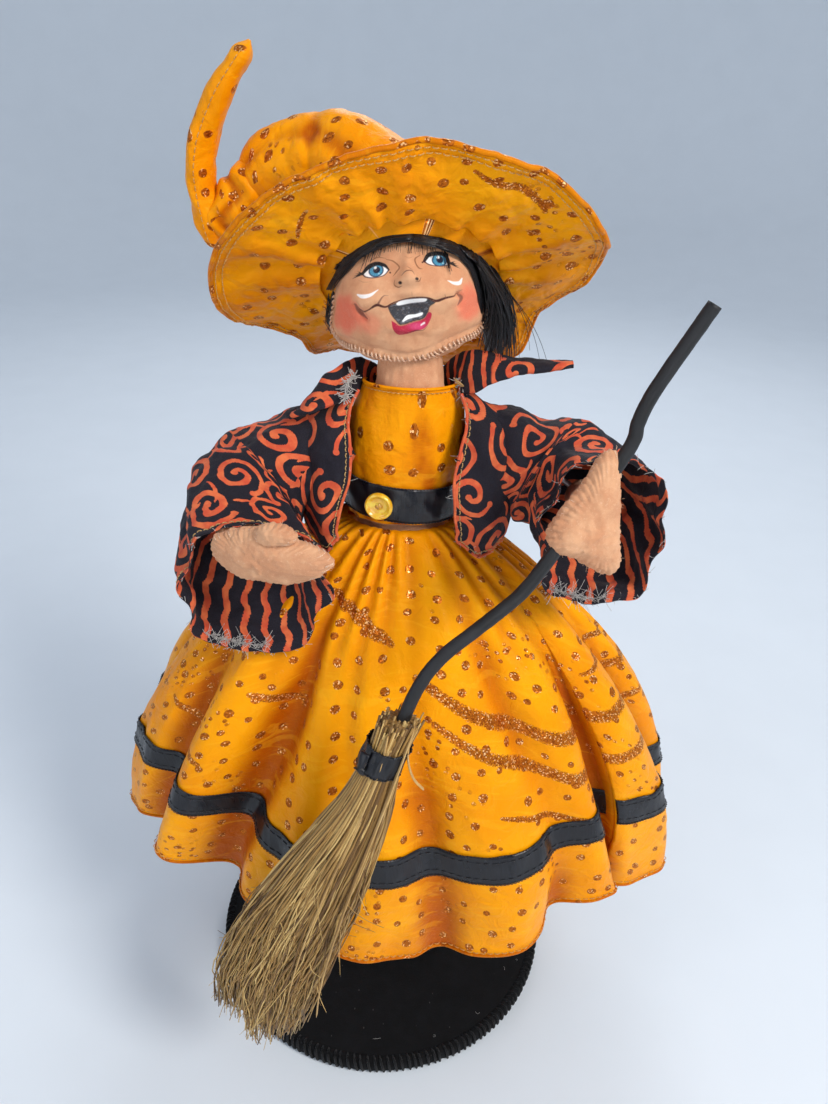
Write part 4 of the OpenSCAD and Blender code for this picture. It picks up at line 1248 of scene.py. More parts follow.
def make_jacket_front(side):
    z = np.linspace(167.6, 207.4, 140)
    share = np.linspace(0, 1, 130)
    Z, S = np.meshgrid(z, share, indexing="ij")
    corner = 3.4 * smoothstep(7, 0, Z - 167.6) * (smoothstep(0.35, 0, S)
                                                  + smoothstep(0.7, 1, S) * 0.9)
    level = Z + corner
    rows = FRONTS[side]
    at = [smooth_along([[r[0], r[k]] for r in rows], level, 1.2) for k in (1, 2, 3, 4)]
    belly = 3.4 * sin(pi * np.clip(S, 0, 1)) ** 0.8 * smoothstep(209, 196, Z)
    P = np.stack([at[0] + (at[2] - at[0]) * S, at[1] + (at[3] - at[1]) * S ** 1.6 - belly, level],
                 -1)
    roll = smoothstep(0.1, 0, S)
    P[..., 1] -= 0.7 * roll
    P[..., 1] += (0.9 * sin(0.33 * Z + 5 * S) * smoothstep(0.05, 0.4, S)
                  + 1.1 * fractal(P * [1, 1, 0.6], 7, 101 + side)
                  + 0.3 * fractal(P, 2.6, 105, 2)) * smoothstep(209, 200, Z)
    P[..., 0] += side * 0.8 * sin(0.21 * (Z - 170)) * (1 - S)
    name = "jacket_front_left" if side > 0 else "jacket_front_right"
    obj = printed_cloth(name + "_cotton", P, 0.32, 131 if side > 0 else 137,
                        centre=(9 * side, 6, 186))
    finish_piece(obj, "trunk", "swirl_cotton", name)
    out = outward(P, TRUNK_AXIS)
    line = P[4:, 9] + out[4:, 9] * 0.05
    low = P[4, 9:-3] + out[4, 9:-3] * 0.05
    seam_threads = (stitches(line, out[4:, 9], 1.55, 1.2, 0.0, 0.16, sides=6)
                    + stitches(low, out[4, 9:-3], 1.55, 1.2, 0.0, 0.16, sides=6))
    sew("trunk", "swirl_cotton", name + "_stitching", seam_threads, 0.15, "tan_thread", 5)
    border = np.vstack([P[::-1, 0], P[0, 1:]])
    rolled = tubes(name + "_hem", [border], 0.42, M["print"], 8)
    ink = swirl_print(np.stack([np.zeros(len(rolled.data.vertices)),
                                np.repeat(np.arange(len(border)), 8) * 0.27], 1), 139, 5.0)
    paint = np.ones((len(ink), 4), np.float32)
    paint[:, 0], paint[:, 1:3] = ink, 0
    rolled.data.attributes.new("print", "FLOAT_COLOR", "POINT").data.foreach_set(
        "color", paint.reshape(-1))
    finish_piece(rolled, "trunk", "swirl_cotton")
    fuzz = frayed(border[::2], 141 + side, 60, 0.9)
    sew("trunk", "swirl_cotton", name + "_fray", fuzz, 0.05, "fray", 4)


def frayed(path, seed, count, length):
    """Loose thread ends that stand off a cut edge."""
    random = np.random.default_rng(seed)
    path = np.asarray(path, float)
    made = []
    for _ in range(count):
        at = random.uniform(0, len(path) - 1.001)
        k = int(at)
        start = path[k] + (path[k + 1] - path[k]) * (at - k)
        heading = unit(random.normal(0, 1, 3) + unit(path[k + 1] - path[k]) * 0.6)
        curl = random.normal(0, 0.5, 3)
        t = np.linspace(0, 1, 6)[:, None]
        reach = length * random.uniform(0.4, 1.6)
        made.append(start + heading * t * reach + curl * t ** 2 * reach)
    return made


def make_jacket_back():
    z = np.linspace(168.6, 202.8, 110)
    angle = np.linspace(8, 172, 200)
    Z, A = np.meshgrid(z, angle, indexing="ij")
    P = jacket_surface(A, Z)
    obj = printed_cloth("jacket_back_cotton", P, 0.32, 149, centre=(3, -5, 186))
    finish_piece(obj, "trunk", "swirl_cotton", "jacket_back")
    out = outward(P, TRUNK_AXIS)
    low = stitches(P[6] + out[6] * 0.05, out[6], 1.55, 1.2, 0.0, 0.16, sides=6)
    sew("trunk", "swirl_cotton", "jacket_back_stitching", low, 0.15, "tan_thread", 5)


def lofted(rows, count, sides, power=2.2):
    """Rings through rows of [centre, normal, half width, half height], and their normals."""
    table = smooth_path([[*c, *unit(n), w, h] for c, n, w, h in rows], count)
    n = unit(table[:, 3:6])
    p = unit(np.cross([0, 0, 1.0], n))
    q = np.cross(n, p)
    a = around(sides)
    c, s = signed_power(cos(a), 2 / power), signed_power(sin(a), 2 / power)
    return (table[:, None, :3] + p[:, None] * (table[:, 6, None] * c)[..., None]
            + q[:, None] * (table[:, 7, None] * s)[..., None]), table


SLEEVES = {
    "right": [((-12.5, -4.5, 195), (-.92, -.1, -.35), 8.6, 8.4),
              ((-18.5, -5, 192.5), (-.9, -.12, -.45), 10.2, 9.8),
              ((-25, -6.5, 188.5), (-.85, -.2, -.55), 11.8, 11.2),
              ((-32, -9, 184), (-.8, -.35, -.5), 13.2, 13.4),
              ((-37.6, -13, 178.5), (-.45, -.8, -.35), 14.2, 15.8),
              ((-38.4, -20, 171.5), (-.1, -.98, -.2), 15.2, 17.4),
              ((-36, -27.5, 165.5), (.1, -.99, -.05), 16.2, 18.0),
              ((-33, -33.5, 162.5), (.16, -.99, 0), 16.8, 17.8)],
    "left": [((17.5, -4.5, 195.5), (.92, -.1, -.3), 8.6, 8.4),
             ((24, -5, 193.5), (.9, -.12, -.4), 10.2, 10.0),
             ((31, -6.5, 190), (.86, -.2, -.5), 11.6, 11.6),
             ((37.5, -7.5, 188.5), (.8, -.35, -.45), 12.8, 14.0),
             ((45.5, -12, 184.5), (.5, -.85, -.1), 13.4, 15.6),
             ((49.8, -19, 182), (.15, -.98, .05), 13.8, 17.2),
             ((50.6, -26, 181), (.1, -.99, .1), 14.2, 18.4),
             ((50.6, -32, 181), (.12, -.99, .1), 14.4, 18.8)],
}
SPLIT = 0.43


def sleeve_grid(side):
    P, table = lofted(SLEEVES[side], 240, 300)
    s = np.linspace(0, 1, len(P))[:, None]
    a = around(P.shape[1])[None]
    out = unit(P - table[:, None, :3])
    seed = 151 if side == "left" else 157
    lengthwise = 1.25 * sin(6 * a + 2.0 * sin(2 * a + seed) + 2.5 * s) * smoothstep(0.25, 1, s)
    elbow = 1.5 * sin(34 * s + 1.8 * sin(a + 1)) * bump(s, 0.5, 0.13) * (0.6 + 0.4 * cos(a + 2))
    cap = 0.7 * sin(30 * s + 2 * sin(a)) * bump(s, 0.12, 0.12)
    crumple = 0.9 * fractal(P, 8, seed) + 0.3 * fractal(P, 2.8, seed + 3, 2)
    P = P + out * (lengthwise + elbow + cap + crumple * smoothstep(0.0, 0.1, s))[..., None]
    roll = smoothstep(0.955, 1, s)
    return P + out * (0.9 * roll)[..., None], out


def make_sleeve(side):
    P, out = sleeve_grid(side)
    cut = int(len(P) * SPLIT)
    seed = 163 if side == "left" else 167
    upper = printed_cloth(f"sleeve_upper_{side}_cotton", P[:cut + 1], 0.32, seed, True,
                          centre="path")
    lower = printed_cloth(f"sleeve_lower_{side}_cotton", P[cut:], 0.32, seed + 1, True,
                          lambda uv: stripe_print(uv, 5.4), centre="path")
    loop, loop_out = looped(P[-9]), looped(out[-9])
    threads = stitches(loop + loop_out * 0.05, loop_out, 1.6, 1.2, 0.0, 0.16, sides=6)
    stitched = tubes(f"sleeve_{side}_stitching", threads, 0.14, M["tan_thread"], 5)
    rim = looped(P[-1]) - looped(out[-1]) * 0.15
    loose = (frayed(rim[::3], seed + 5, 70, 1.0)
             + frayed((P[-6, 185:235] - out[-6, 185:235] * 0.9)[::3], seed + 6, 170, 2.0))
    fray = tubes(f"sleeve_{side}_fray", loose, 0.06, M["fray"], 4)
    for obj, nodes in ((upper, [f"sleeve_upper_{side}"]), (lower, [f"sleeve_lower_{side}"]),
                       (stitched, []), (fray, [])):
        if nodes:
            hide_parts(*nodes)
    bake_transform(upper)
    for obj in (lower, stitched, fray):
        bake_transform(obj)


def make_collars():
    """Left: a strip that rises from the neck and twists to a flat point. Right: a short torn
    end with its white interlining showing."""
    left = smooth_path([(11.5, 2.0, 208, 2.4, 0.8, 80), (15.0, -3, 210.5, 4.6, 1.0, 78),
                        (17.6, -7.5, 212.0, 5.6, 1.2, 66), (22, -9.6, 213.8, 5.0, 1.4, 36),
                        (28, -10.2, 214.6, 3.8, 1.4, 14), (35, -10.6, 215.2, 2.8, 1.2, 4),
                        (42, -11, 216, 1.9, 0.8, 0)], 180)
    P = strip_rings(left, 80)
    uv = grid_uv(P, True)
    stripes = stripe_print(uv[:, :-1, ::-1], 3.4)
    swirls = swirl_print(uv[:, :-1], 173, 13.0)
    share = smoothstep(0.42, 0.55, np.linspace(0, 1, len(P)))[:, None]
    ink = stripes * (1 - share) + swirls * share
    obj = solid("collar_left_cotton", P, M["print"], colours={"print": ink_colours(ink)}, uv=uv)
    finish_piece(obj, "trunk", "swirl_cotton", "collar_left")
    right = smooth_path([(-5.5, 2.5, 208, 2.2, 0.8, 95), (-9.5, -3.5, 209.6, 3.8, 1.0, 105),
                         (-13.5, -9.5, 208.8, 4.0, 1.1, 125),
                         (-18.0, -12.6, 206.2, 3.6, 1.2, 150),
                         (-22.6, -13.4, 203.2, 2.8, 1.0, 168),
                         (-26.0, -12.6, 200.8, 1.6, 0.6, 176)], 150)
    P = strip_rings(right, 70)
    uv = grid_uv(P, True)
    ink = swirl_print(uv[:, :-1], 179, 13.0)
    obj = solid("collar_right_cotton", P, M["print"], colours={"print": ink_colours(ink)}, uv=uv)
    finish_piece(obj, "trunk", "swirl_cotton", "collar_right")
    torn = (frayed(smooth_path([(-10.4, -10.5, 211.4), (-12, -13.8, 209.6), (-12.6, -15.6, 206.6)],
                               20), 181, 130, 1.3)
            + frayed(smooth_path([(14.4, -6.5, 209.5), (16.5, -9, 208.5)], 12), 182, 70, 1.2))
    sew("trunk", "swirl_cotton", "collar_interlining", torn, 0.09, "fray", 4)
    crossing = [np.array([[13.6, -8.6, 210.8], [15.2, -9.6, 210.0], [16.6, -9.2, 208.6]])
                + k * np.array([0.25, 0.3, -0.5]) for k in range(4)]
    sew("trunk", "swirl_cotton", "collar_tack", [smooth_path(c, 10) for c in crossing], 0.14,
        "tan_thread", 5)


def strip_rings(path, sides):
    """Rings of a flat strip along rows of [x, y, z, half width, half thickness, twist]."""
    t = unit(np.gradient(path[:, :3], axis=0))
    p = unit(np.cross([0, 0, 1.0], t))
    q = np.cross(t, p)
    turn = np.radians(path[:, 5])[:, None]
    wide, thin = p * cos(turn) + q * sin(turn), q * cos(turn) - p * sin(turn)
    a = around(sides)
    c, s = signed_power(cos(a), 0.8), signed_power(sin(a), 0.8)
    P = (path[:, None, :3] + wide[:, None] * (path[:, 3, None] * c)[..., None]
         + thin[:, None] * (path[:, 4, None] * s)[..., None])
    return P + unit(P - path[:, None, :3]) * (0.3 * fractal(P, 2.6, 191, 2))[..., None]


# ---------- arms and hands ----------

def make_arm(side):
    shoulder, elbow, wrist = SHOULDER[side], ELBOW[side], WRIST[side]
    for name, a, b, first, last, body in (
            ("upper_arm_", shoulder, elbow, 4.5, 6.5, f"upper_arm_{side}"),
            ("forearm_", elbow, wrist, 6.5, 0.0, f"forearm_{side}")):
        way, length = unit(b - a), np.linalg.norm(b - a)
        s = np.linspace(first, length - last, 40)
        edge = np.minimum(s - first, length - last - s)
        radius = 4.4 * np.sqrt(np.clip((edge + 0.35) / 2.2, 0, 1)) ** 0.7
        P = rings_along(a + s[:, None] * way, radius, radius, 36)
        P = P + unit(P - (a + s[:, None] * way)[:, None]) * (0.22 * fractal(P, 3, 201))[..., None]
        arm = finish_piece(solid(name + side + "_felt", P, M["skin"]), body, "flesh_felt",
                           name + side)
        line = P[3:-3, 27]
        seam = stitches(line, unit(line - (a + way * 10)), 1.6, 1.2, 0.4, 0.25)
        sew(body, "flesh_felt", name + side + "_seam", seam, 0.17, "skin_yarn", 5)


def pillow(name, outline, centre, over, up, front_thick, back_thick, material, seed):
    """Stuffed flat shape: an outline in the plane of over and up, crowned on both sides, its
    edge pulled in by oversewing."""
    pitch, notch = 1.55, 0.34
    outline = smooth_path([*outline, outline[0]], 241)[:-1]
    over, up = unit(over), unit(up)
    out = np.cross(over, up)
    gone = np.r_[0, np.cumsum(np.linalg.norm(np.diff(looped(outline), axis=0),
                                             axis=1))]
    count = max(8, int(gone[-1] / pitch))
    ridge = np.abs(cos(pi * count * gone[:-1] / gone[-1]))
    heading = unit(outline)
    share = np.r_[0.02, np.linspace(0.08, 0.86, 22), np.linspace(0.89, 1, 14)]
    rings = []
    for sign, order in ((front_thick, share), (-back_thick, share[::-1])):
        for rho in order:
            pull = (ridge - 0.5) * notch * smoothstep(0.62, 1.0, rho)
            flat = outline * rho + heading * pull[:, None]
            rib = np.sign(sign) * (ridge - 0.5) * 0.5 * notch * bump(rho, 0.88, 0.12)
            height = sign * (1 - rho ** 2.6) ** 0.62 + rib
            rings.append(centre + flat[:, :1] * over + flat[:, 1:] * up
                         + height[:, None] * out)
    P = np.array(rings)
    half = len(share)
    P = np.concatenate([P[:half], P[half + 1:]])
    lumps = 0.5 * fractal(P, 3.4, seed) + 0.2 * fractal(P, 1.3, seed + 4, 2)
    P = P + unit(P - centre) * lumps[..., None]
    obj = solid(name, P, material)
    edge = P[half - 1]
    loops = []
    random = np.random.default_rng(seed)
    for k in range(count):
        at = int(round((k + 0.5) / count * len(edge))) % len(edge)
        inward = unit((centre - edge[at]) - np.dot(centre - edge[at], out) * out)
        t = np.linspace(-1, 1, 9)[:, None]
        run = np.cross(out, inward) * (0.35 + random.normal(0, 0.08))
        loops.append(edge[at] + inward * (0.15 + 1.35 * t ** 2)
                     + out * t * (0.95 + 0.55 * np.abs(t)) + run * t)
    return obj, loops


def add_fuzz(side, loops, seed):
    """Short wool ends along the oversewn edge of a hand."""
    line = np.array([loop[len(loop) // 2] for loop in loops])
    fuzz = frayed(line, seed, 260, 0.7)
    sew(f"forearm_{side}", "flesh_felt", f"hand_{side}_fuzz", fuzz, 0.035, "skin_yarn", 4)


def make_hands():
    centre = np.array([-28.5, -42.2, 177.6])
    over = unit(np.array([30.0, -11.8, 4.8]))
    up = unit(np.cross(np.cross(over, [0, 0, 1.0]), over) + np.array([0, -0.15, 0]))
    up = unit(up - np.dot(up, over) * over)
    shape = [(-14.6, -0.6), (-13.6, 3.2), (-10.5, 5.4), (-5.5, 6.7), (0, 7.0), (4.6, 6.3),
             (9.0, 4.6), (12.6, 3.6), (16.4, 1.6), (17.2, -0.6), (14.8, -3.2), (11.0, -5.4),
             (6, -6.8), (0, -7.3), (-6, -6.6), (-11, -4.8), (-13.9, -2.8)]
    palm, sewn = pillow("hand_right_felt", shape, centre, over, up, 3.9, 3.9, M["skin"], 211)
    thumb_c = centre + over * 4.6 + up * 7.0 + np.cross(over, up) * 1.4
    thumb_shape = [(-5.6, -1.8), (-3.4, 1.5), (0, 2.5), (3.4, 2.5), (5.5, 1.2), (5.7, -0.7),
                   (3.8, -2.1), (0, -2.6), (-3.5, -2.8)]
    thumb, more = pillow("thumb_right_felt", thumb_shape, thumb_c, over, up, 2.1, 2.1,
                         M["skin"], 217)
    finish_piece(palm, "forearm_right", "flesh_felt", "hand_right")
    finish_piece(thumb, "forearm_right", "flesh_felt")
    sew("forearm_right", "flesh_felt", "hand_right_oversewing", sewn + more, 0.2, "skin_yarn", 5)
    add_fuzz("right", sewn + more, 227)
    centre = np.array([43.2, -47.6, 190.8])
    over, up = np.array([1.0, 0.3, 0.0]), np.array([0, 0.13, 1.0])
    up = unit(up - np.dot(up, unit(over)) * unit(over))
    shape = [(3.0, 16.6), (0.6, 14.8), (-2.0, 10.4), (-5.8, 5.4), (-9.2, 1.8), (-10.4, -2.2),
             (-8.2, -5.0), (-3.6, -7.0), (1.2, -10.2), (5.0, -12.0), (7.6, -10.6), (7.4, -5),
             (6.4, 0), (5.8, 6), (5.4, 12), (4.6, 16)]
    palm, sewn = pillow("hand_left_felt", shape, centre, over, up, 4.4, 4.6, M["skin"], 223)
    finish_piece(palm, "forearm_left", "flesh_felt", "hand_left")
    sew("forearm_left", "flesh_felt", "hand_left_oversewing", sewn, 0.2, "skin_yarn", 5)
    add_fuzz("left", sewn, 229)


make_jacket_back()
make_jacket_front(1)
make_jacket_front(-1)
make_collars()
for side_name in ("left", "right"):
    make_arm(side_name)
    make_sleeve(side_name)
make_hands()


# ---------- neck, head and painted face ----------

def make_neck():
    rows = [(203.6, 9.0), (206, 9.0), (209, 8.6), (212, 8.1), (214, 7.9), (217, 7.6), (220, 6.6),
            (223, 4.6), (223.9, 2.0)]
    path = smooth_path([(3, -5, z, r) for z, r in rows], 60)
    P = rings_along(path[:, :3], path[:, 3], path[:, 3], 96, (0, 1, 0))
    out = unit(P - path[:, None, :3])
    a = around(96)
    gather = 0.28 * np.abs(sin(9 * a + 0.4 * sin(3 * a)))[None] * smoothstep(206, 213, P[..., 2])
    P = P + out * (0.25 * fractal(P, 4, 301) - gather)[..., None]
    neck = finish_piece(solid("neck_felt", P, M["skin"]), "neck", "flesh_felt", "neck")


ROLL = np.radians(7.0)


def head_surface(angle, h, off=0.0):
    """The head at an angle in degrees and a height over its centre, rolled to its right."""
    a = np.radians(angle)
    c, s = signed_power(cos(a), 0.86), signed_power(sin(a), 0.92)
    wide = smooth_along(HEAD_A, h, 2.2) + off
    deep = smooth_along(HEAD_B, h, 2.2) + off
    jowl = 1.3 * bump(h, -8.5, 4.5) * np.abs(c) ** 3
    x, y = (wide + jowl) * c, deep * s
    z = h + 0 * a
    lean = np.clip(1.2 - h / 26, 0.2, 1.0)
    return np.stack([HEAD_C[0] + x * cos(ROLL * lean) - 0.1 * z, HEAD_C[1] + y,
                     HEAD_C[2] + z + x * sin(ROLL) * lean], -1)


def face_plan(P):
    """Places on the face seen from a little above: across and up from the head's centre."""
    return P[..., 0] - HEAD_C[0], P[..., 2] - HEAD_C[2] + 0.21 * (P[..., 1] + 18)


def face_relief(u, v):
    """How far the moulded face stands out at a place of its plan."""
    def hill(cu, cv, wu, wv):
        return np.exp(-((u - cu) / wu) ** 2 - ((v - cv) / wv) ** 2)
    out = 2.1 * hill(0.3, 5.0, 1.9, 2.2) + 1.0 * hill(0.1, 8.2, 1.5, 3.0)
    out += 0.7 * hill(-1.5, 4.3, 1.1, 1.0) + 0.7 * hill(2.1, 4.9, 1.1, 1.0)
    out += 1.6 * hill(-9.6, 0.2, 4.2, 4.0) + 1.6 * hill(10.4, 2.2, 4.0, 4.0)
    out -= 0.9 * hill(-7.2, 7.2, 3.2, 2.0) + 0.9 * hill(7.0, 9.8, 3.2, 2.0)
    out += 0.35 * hill(-7.1, 6.7, 1.7, 1.4) + 0.35 * hill(7.1, 9.6, 1.7, 1.4)
    out -= 1.5 * hill(1.2, -1.9, 3.9, 2.2)
    out += 0.9 * hill(0.8, -5.9, 3.6, 1.2) + 0.8 * hill(1.0, -10.6, 4.4, 2.2)
    out += 0.5 * hill(1.2, 1.9, 5.0, 1.0)
    crease = np.minimum(stroke_gap(u, v, [(-10.9, -0.9), (-10.1, -2.4), (-9.0, -4.2)]),
                        stroke_gap(u, v, [(11.0, 2.3), (11.9, 1.4), (11.6, -0.3)]))
    smile = np.minimum(stroke_gap(u, v, [(-9.9, -2.3), (-7.9, -1.7), (-6.3, -0.8)]),
                       stroke_gap(u, v, [(6.8, 0.6), (8.4, 1.3), (11.0, 2.4)]))
    return out - 0.8 * bump(crease, 0, 0.7) - 0.35 * bump(smile, 0, 0.6)


def stroke_gap(u, v, points, width=None):
    """Distance of each place from a brush line through points; width, one per point, is
    taken off it."""
    table = np.array([[x, y, w] for (x, y), w in
                      zip(points, width if width is not None else [0] * len(points))], float)
    path = smooth_path(np.stack([table[:, 0], table[:, 1], 0 * table[:, 2], table[:, 2]], 1),
                       10 * len(points))
    best = np.full(np.shape(u), 1e9)
    for (x0, y0, _, w0), (x1, y1, _, w1) in zip(path[:-1], path[1:]):
        dx, dy = x1 - x0, y1 - y0
        t = np.clip(((u - x0) * dx + (v - y0) * dy) / max(dx * dx + dy * dy, 1e-9), 0, 1)
        best = np.minimum(best, np.hypot(u - x0 - t * dx, v - y0 - t * dy)
                          - (w0 + (w1 - w0) * t))
    return best


def area_gap(u, v, points):
    """Distance outside a closed smooth outline, negative inside it."""
    ring = smooth_path([(x, y, 0) for x, y in list(points) + [points[0]]], 8 * len(points))
    best, inside = np.full(np.shape(u), 1e9), np.zeros(np.shape(u), bool)
    for (x0, y0, _), (x1, y1, _) in zip(ring[:-1], ring[1:]):
        dx, dy = x1 - x0, y1 - y0
        t = np.clip(((u - x0) * dx + (v - y0) * dy) / max(dx * dx + dy * dy, 1e-9), 0, 1)
        best = np.minimum(best, np.hypot(u - x0 - t * dx, v - y0 - t * dy))
        if dy != 0:
            inside ^= ((y0 > v) != (y1 > v)) & (u < x0 + (v - y0) * dx / dy)
    return np.where(inside, -best, best)


def paint_face(u, v, P):
    """Colour and cover of the hand-painted features: rouge, eyes, nose, mouth and fine lines."""
    colour = np.ones(u.shape + (3,)) * np.array(SKIN[0])
    cover = np.zeros(u.shape)
    soft = 0.11

    def lay(gap, tone, strength=1.0):
        alpha = smoothstep(soft, -soft, gap) * strength
        colour[...] = colour * (1 - alpha[..., None]) + np.array(tone) * alpha[..., None]
        cover[...] = np.maximum(cover, alpha)

    def rouge(cu, cv, ru, rv, strength):
        d = np.hypot((u - cu) / ru, (v - cv) / rv) + 0.16 * fractal(P, 3.5, 311)
        alpha = smoothstep(1.15, 0.35, d) * strength
        tone = np.array((0.80, 0.13, 0.075))
        colour[...] = colour * (1 - alpha[..., None]) + tone * alpha[..., None]
        cover[...] = np.maximum(cover, np.minimum(alpha * 1.4, 0.85))

    brown, dark, ink = (0.20, 0.065, 0.025), (0.075, 0.02, 0.015), (0.008, 0.008, 0.012)
    white = (0.92, 0.91, 0.90)
    rouge(-13.4, -3.6, 5.4, 6.4, 0.92)
    rouge(-8.0, -5.4, 3.4, 3.6, 0.5)
    rouge(14.2, 0.3, 4.4, 5.6, 0.85)
    shade = smoothstep(1.1, 0.2, np.hypot((u - 0.6) / 3.4, (v - 7.6) / 3.0)) * 0.22
    colour[...] = colour * (1 - shade[..., None]) + np.array((0.50, 0.20, 0.10)) * shade[..., None]
    cover[...] = np.maximum(cover, shade)
    for side, (eu, ev), lens in (
            (-1, (-7.15, 6.68), [(-10.1, 5.7), (-9.0, 7.4), (-7.2, 8.25), (-5.3, 7.9), (-4.2, 6.9),
                                 (-5.2, 5.6), (-7.1, 4.95), (-9.0, 5.0)]),
            (1, (7.23, 9.62), [(3.7, 9.1), (4.7, 10.6), (6.9, 11.1), (8.7, 10.6), (9.6, 8.9),
                               (8.6, 8.3), (6.8, 8.15), (5.0, 8.4)])):
        lens_gap = area_gap(u, v, lens)
        lay(lens_gap, white)
        iris = np.hypot((u - eu) / 1.0, (v - ev) / 0.94)
        within = np.maximum(iris - 1.72, lens_gap + 0.05)
        lay(within, (0.01, 0.045, 0.11))
        lay(np.maximum(iris - 1.45, lens_gap + 0.08), (0.03, 0.20, 0.36))
        turn = np.arctan2(v - ev, u - eu)
        rays = np.abs(sin(7 * turn)) * 0.5 + 0.2
        lay(np.maximum(np.abs(iris - 1.05) - 0.34, lens_gap), (0.12, 0.42, 0.58), rays * 0.8)
        lay(np.hypot(u - eu - 0.12, v - ev - 0.1) - 0.80, (0.004, 0.008, 0.03))
        lay(np.hypot(u - eu + 0.28, v - ev - 0.62) - 0.34, white)
        lay(np.hypot(u - eu - 0.75, v - ev + 0.75) - 0.16, (0.45, 0.70, 0.76))
        upper = lens[:5]
        lay(stroke_gap(u, v, upper, [0.34, 0.5, 0.48, 0.4, 0.2]), ink)
        lay(stroke_gap(u, v, [lens[4], *lens[5:], lens[0]], [0.16, 0.12, 0.13, 0.16, 0.2]),
            (0.06, 0.012, 0.02))
        outer = lens[0] if side < 0 else lens[4]
        for k in range(4):
            spread = side * (0.9 + 0.25 * k), 0.55 - 0.55 * k
            lay(stroke_gap(u, v, [outer, (outer[0] + spread[0] * 0.6, outer[1] + spread[1] * 0.5),
                                  (outer[0] + spread[0] * 1.3, outer[1] + spread[1])],
                           [0.3, 0.18, 0.05]), ink)
    lay(np.hypot(u + 3.9, v - 6.25) - 0.26, dark)
    lay(np.hypot(u - 3.3, v - 8.8) - 0.24, dark)
    for points, tone, width in (
            ([(-8.6, 8.7), (-6.8, 9.5), (-4.8, 9.3)], brown, 0.17),
            ([(-4.9, 9.1), (-3.2, 8.7), (-1.8, 7.4), (-2.4, 6.4), (-3.2, 5.4)], brown, 0.2),
            ([(2.7, 10.3), (1.6, 9.3), (1.75, 8.2), (2.5, 7.4), (3.4, 7.3)], brown, 0.2),
            ([(5.0, 11.6), (6.9, 12.1), (8.8, 11.7)], brown, 0.15),
            ([(-0.7, 9.6), (0.2, 9.1), (1.2, 9.7)], brown, 0.06),
            ([(-0.9, 10.7), (0.3, 10.3), (1.5, 10.9)], brown, 0.055),
            ([(-10.8, 4.4), (-9.3, 3.9), (-7.6, 4.1)], brown, 0.07),
            ([(4.6, 7.3), (5.6, 7.7), (6.5, 7.2)], brown, 0.06),
            ([(-1.2, 5.4), (-0.3, 6.2), (0.9, 6.3), (1.45, 5.6)], dark, 0.14),
            ([(-0.1, 7.2), (0.5, 6.8), (1.0, 6.6)], dark, 0.1),
            ([(-2.7, 4.6), (-2.75, 3.6), (-1.9, 3.1), (-1.0, 3.4)], brown, 0.18),
            ([(2.9, 5.3), (2.5, 4.5), (1.7, 4.3)], brown, 0.17),
            ([(1.05, 2.3), (1.15, 1.8), (1.2, 1.3)], brown, 0.08)):
        lay(stroke_gap(u, v, points, [width * 0.5] + [width] * (len(points) - 2)
                       + [width * 0.4]), tone, 0.9)
    lay(np.hypot((u + 1.4) / 1.25, v - 4.0) - 0.36, ink)
    lay(np.hypot((u - 1.95) / 1.25, v - 4.85) - 0.34, ink)
    lay(stroke_gap(u, v, [(-10.1, 1.3), (-9.0, 1.0), (-7.5, 1.3), (-6.1, 2.4)],
                   [0.2, 0.42, 0.36, 0.1]), white, 0.95)
    lay(stroke_gap(u, v, [(8.7, 4.9), (9.9, 4.45), (11.2, 4.6), (11.9, 5.6)],
                   [0.12, 0.36, 0.42, 0.16]), white, 0.95)
    lip = [(-3.3, -4.2), (-2.4, -4.6), (-1.0, -5.1), (2.3, -4.4), (4.3, -3.7), (5.3, -2.2),
           (6.0, -2.6), (5.5, -4.3), (4.3, -5.6), (2.6, -6.1), (1.0, -6.7), (-0.8, -7.3),
           (-2.0, -7.1), (-2.9, -5.8)]
    lay(area_gap(u, v, lip), (0.46, 0.018, 0.055))
    glow = smoothstep(1.0, 0.1, np.hypot((u - 2.6) / 3.2, (v + 5.2) / 1.1))
    lay(area_gap(u, v, lip), (0.66, 0.07, 0.20), glow * 0.75)
    lay(stroke_gap(u, v, [(0.4, -6.6), (2.3, -6.0), (3.9, -6.0), (5.3, -4.9)],
                   [0.05, 0.13, 0.13, 0.05]), ink, 0.8)
    lay(stroke_gap(u, v, [(3.5, -5.0), (4.3, -4.6)], [0.12, 0.16]), white, 0.8)
    mouth = [(-4.2, -1.1), (-2.3, -0.35), (1.05, 0.8), (4.5, 1.05), (6.6, 0.45), (5.45, -0.8),
             (5.15, -2.3), (4.2, -3.7), (2.3, -4.3), (-1.0, -5.0), (-2.4, -4.1), (-3.5, -2.8)]
    mouth_gap = area_gap(u, v, mouth)
    lay(mouth_gap, (0.045, 0.048, 0.058))
    dabs = smoothstep(0.25, 0.5, fractal(np.stack([u * 1.5, v * 2.2, 0 * u], -1), 1.0, 317, 2))
    lay(mouth_gap + 0.25, (0.20, 0.21, 0.24), dabs * 0.55)
    lay(np.abs(mouth_gap) - 0.09, ink, 0.9)
    upper = [(-2.3, -0.5), (-1.2, 0.2), (2.2, 0.78), (4.3, 0.95), (4.2, 0.25), (1.75, -0.3),
             (-1.2, -0.95), (-2.2, -0.9)]
    lay(area_gap(u, v, upper), white)
    lower = [(-0.8, -4.3), (0.2, -3.4), (2.2, -3.1), (3.9, -2.5), (3.7, -3.2), (1.8, -3.8),
             (0.3, -4.15), (-0.6, -4.5)]
    lay(area_gap(u, v, lower), white)
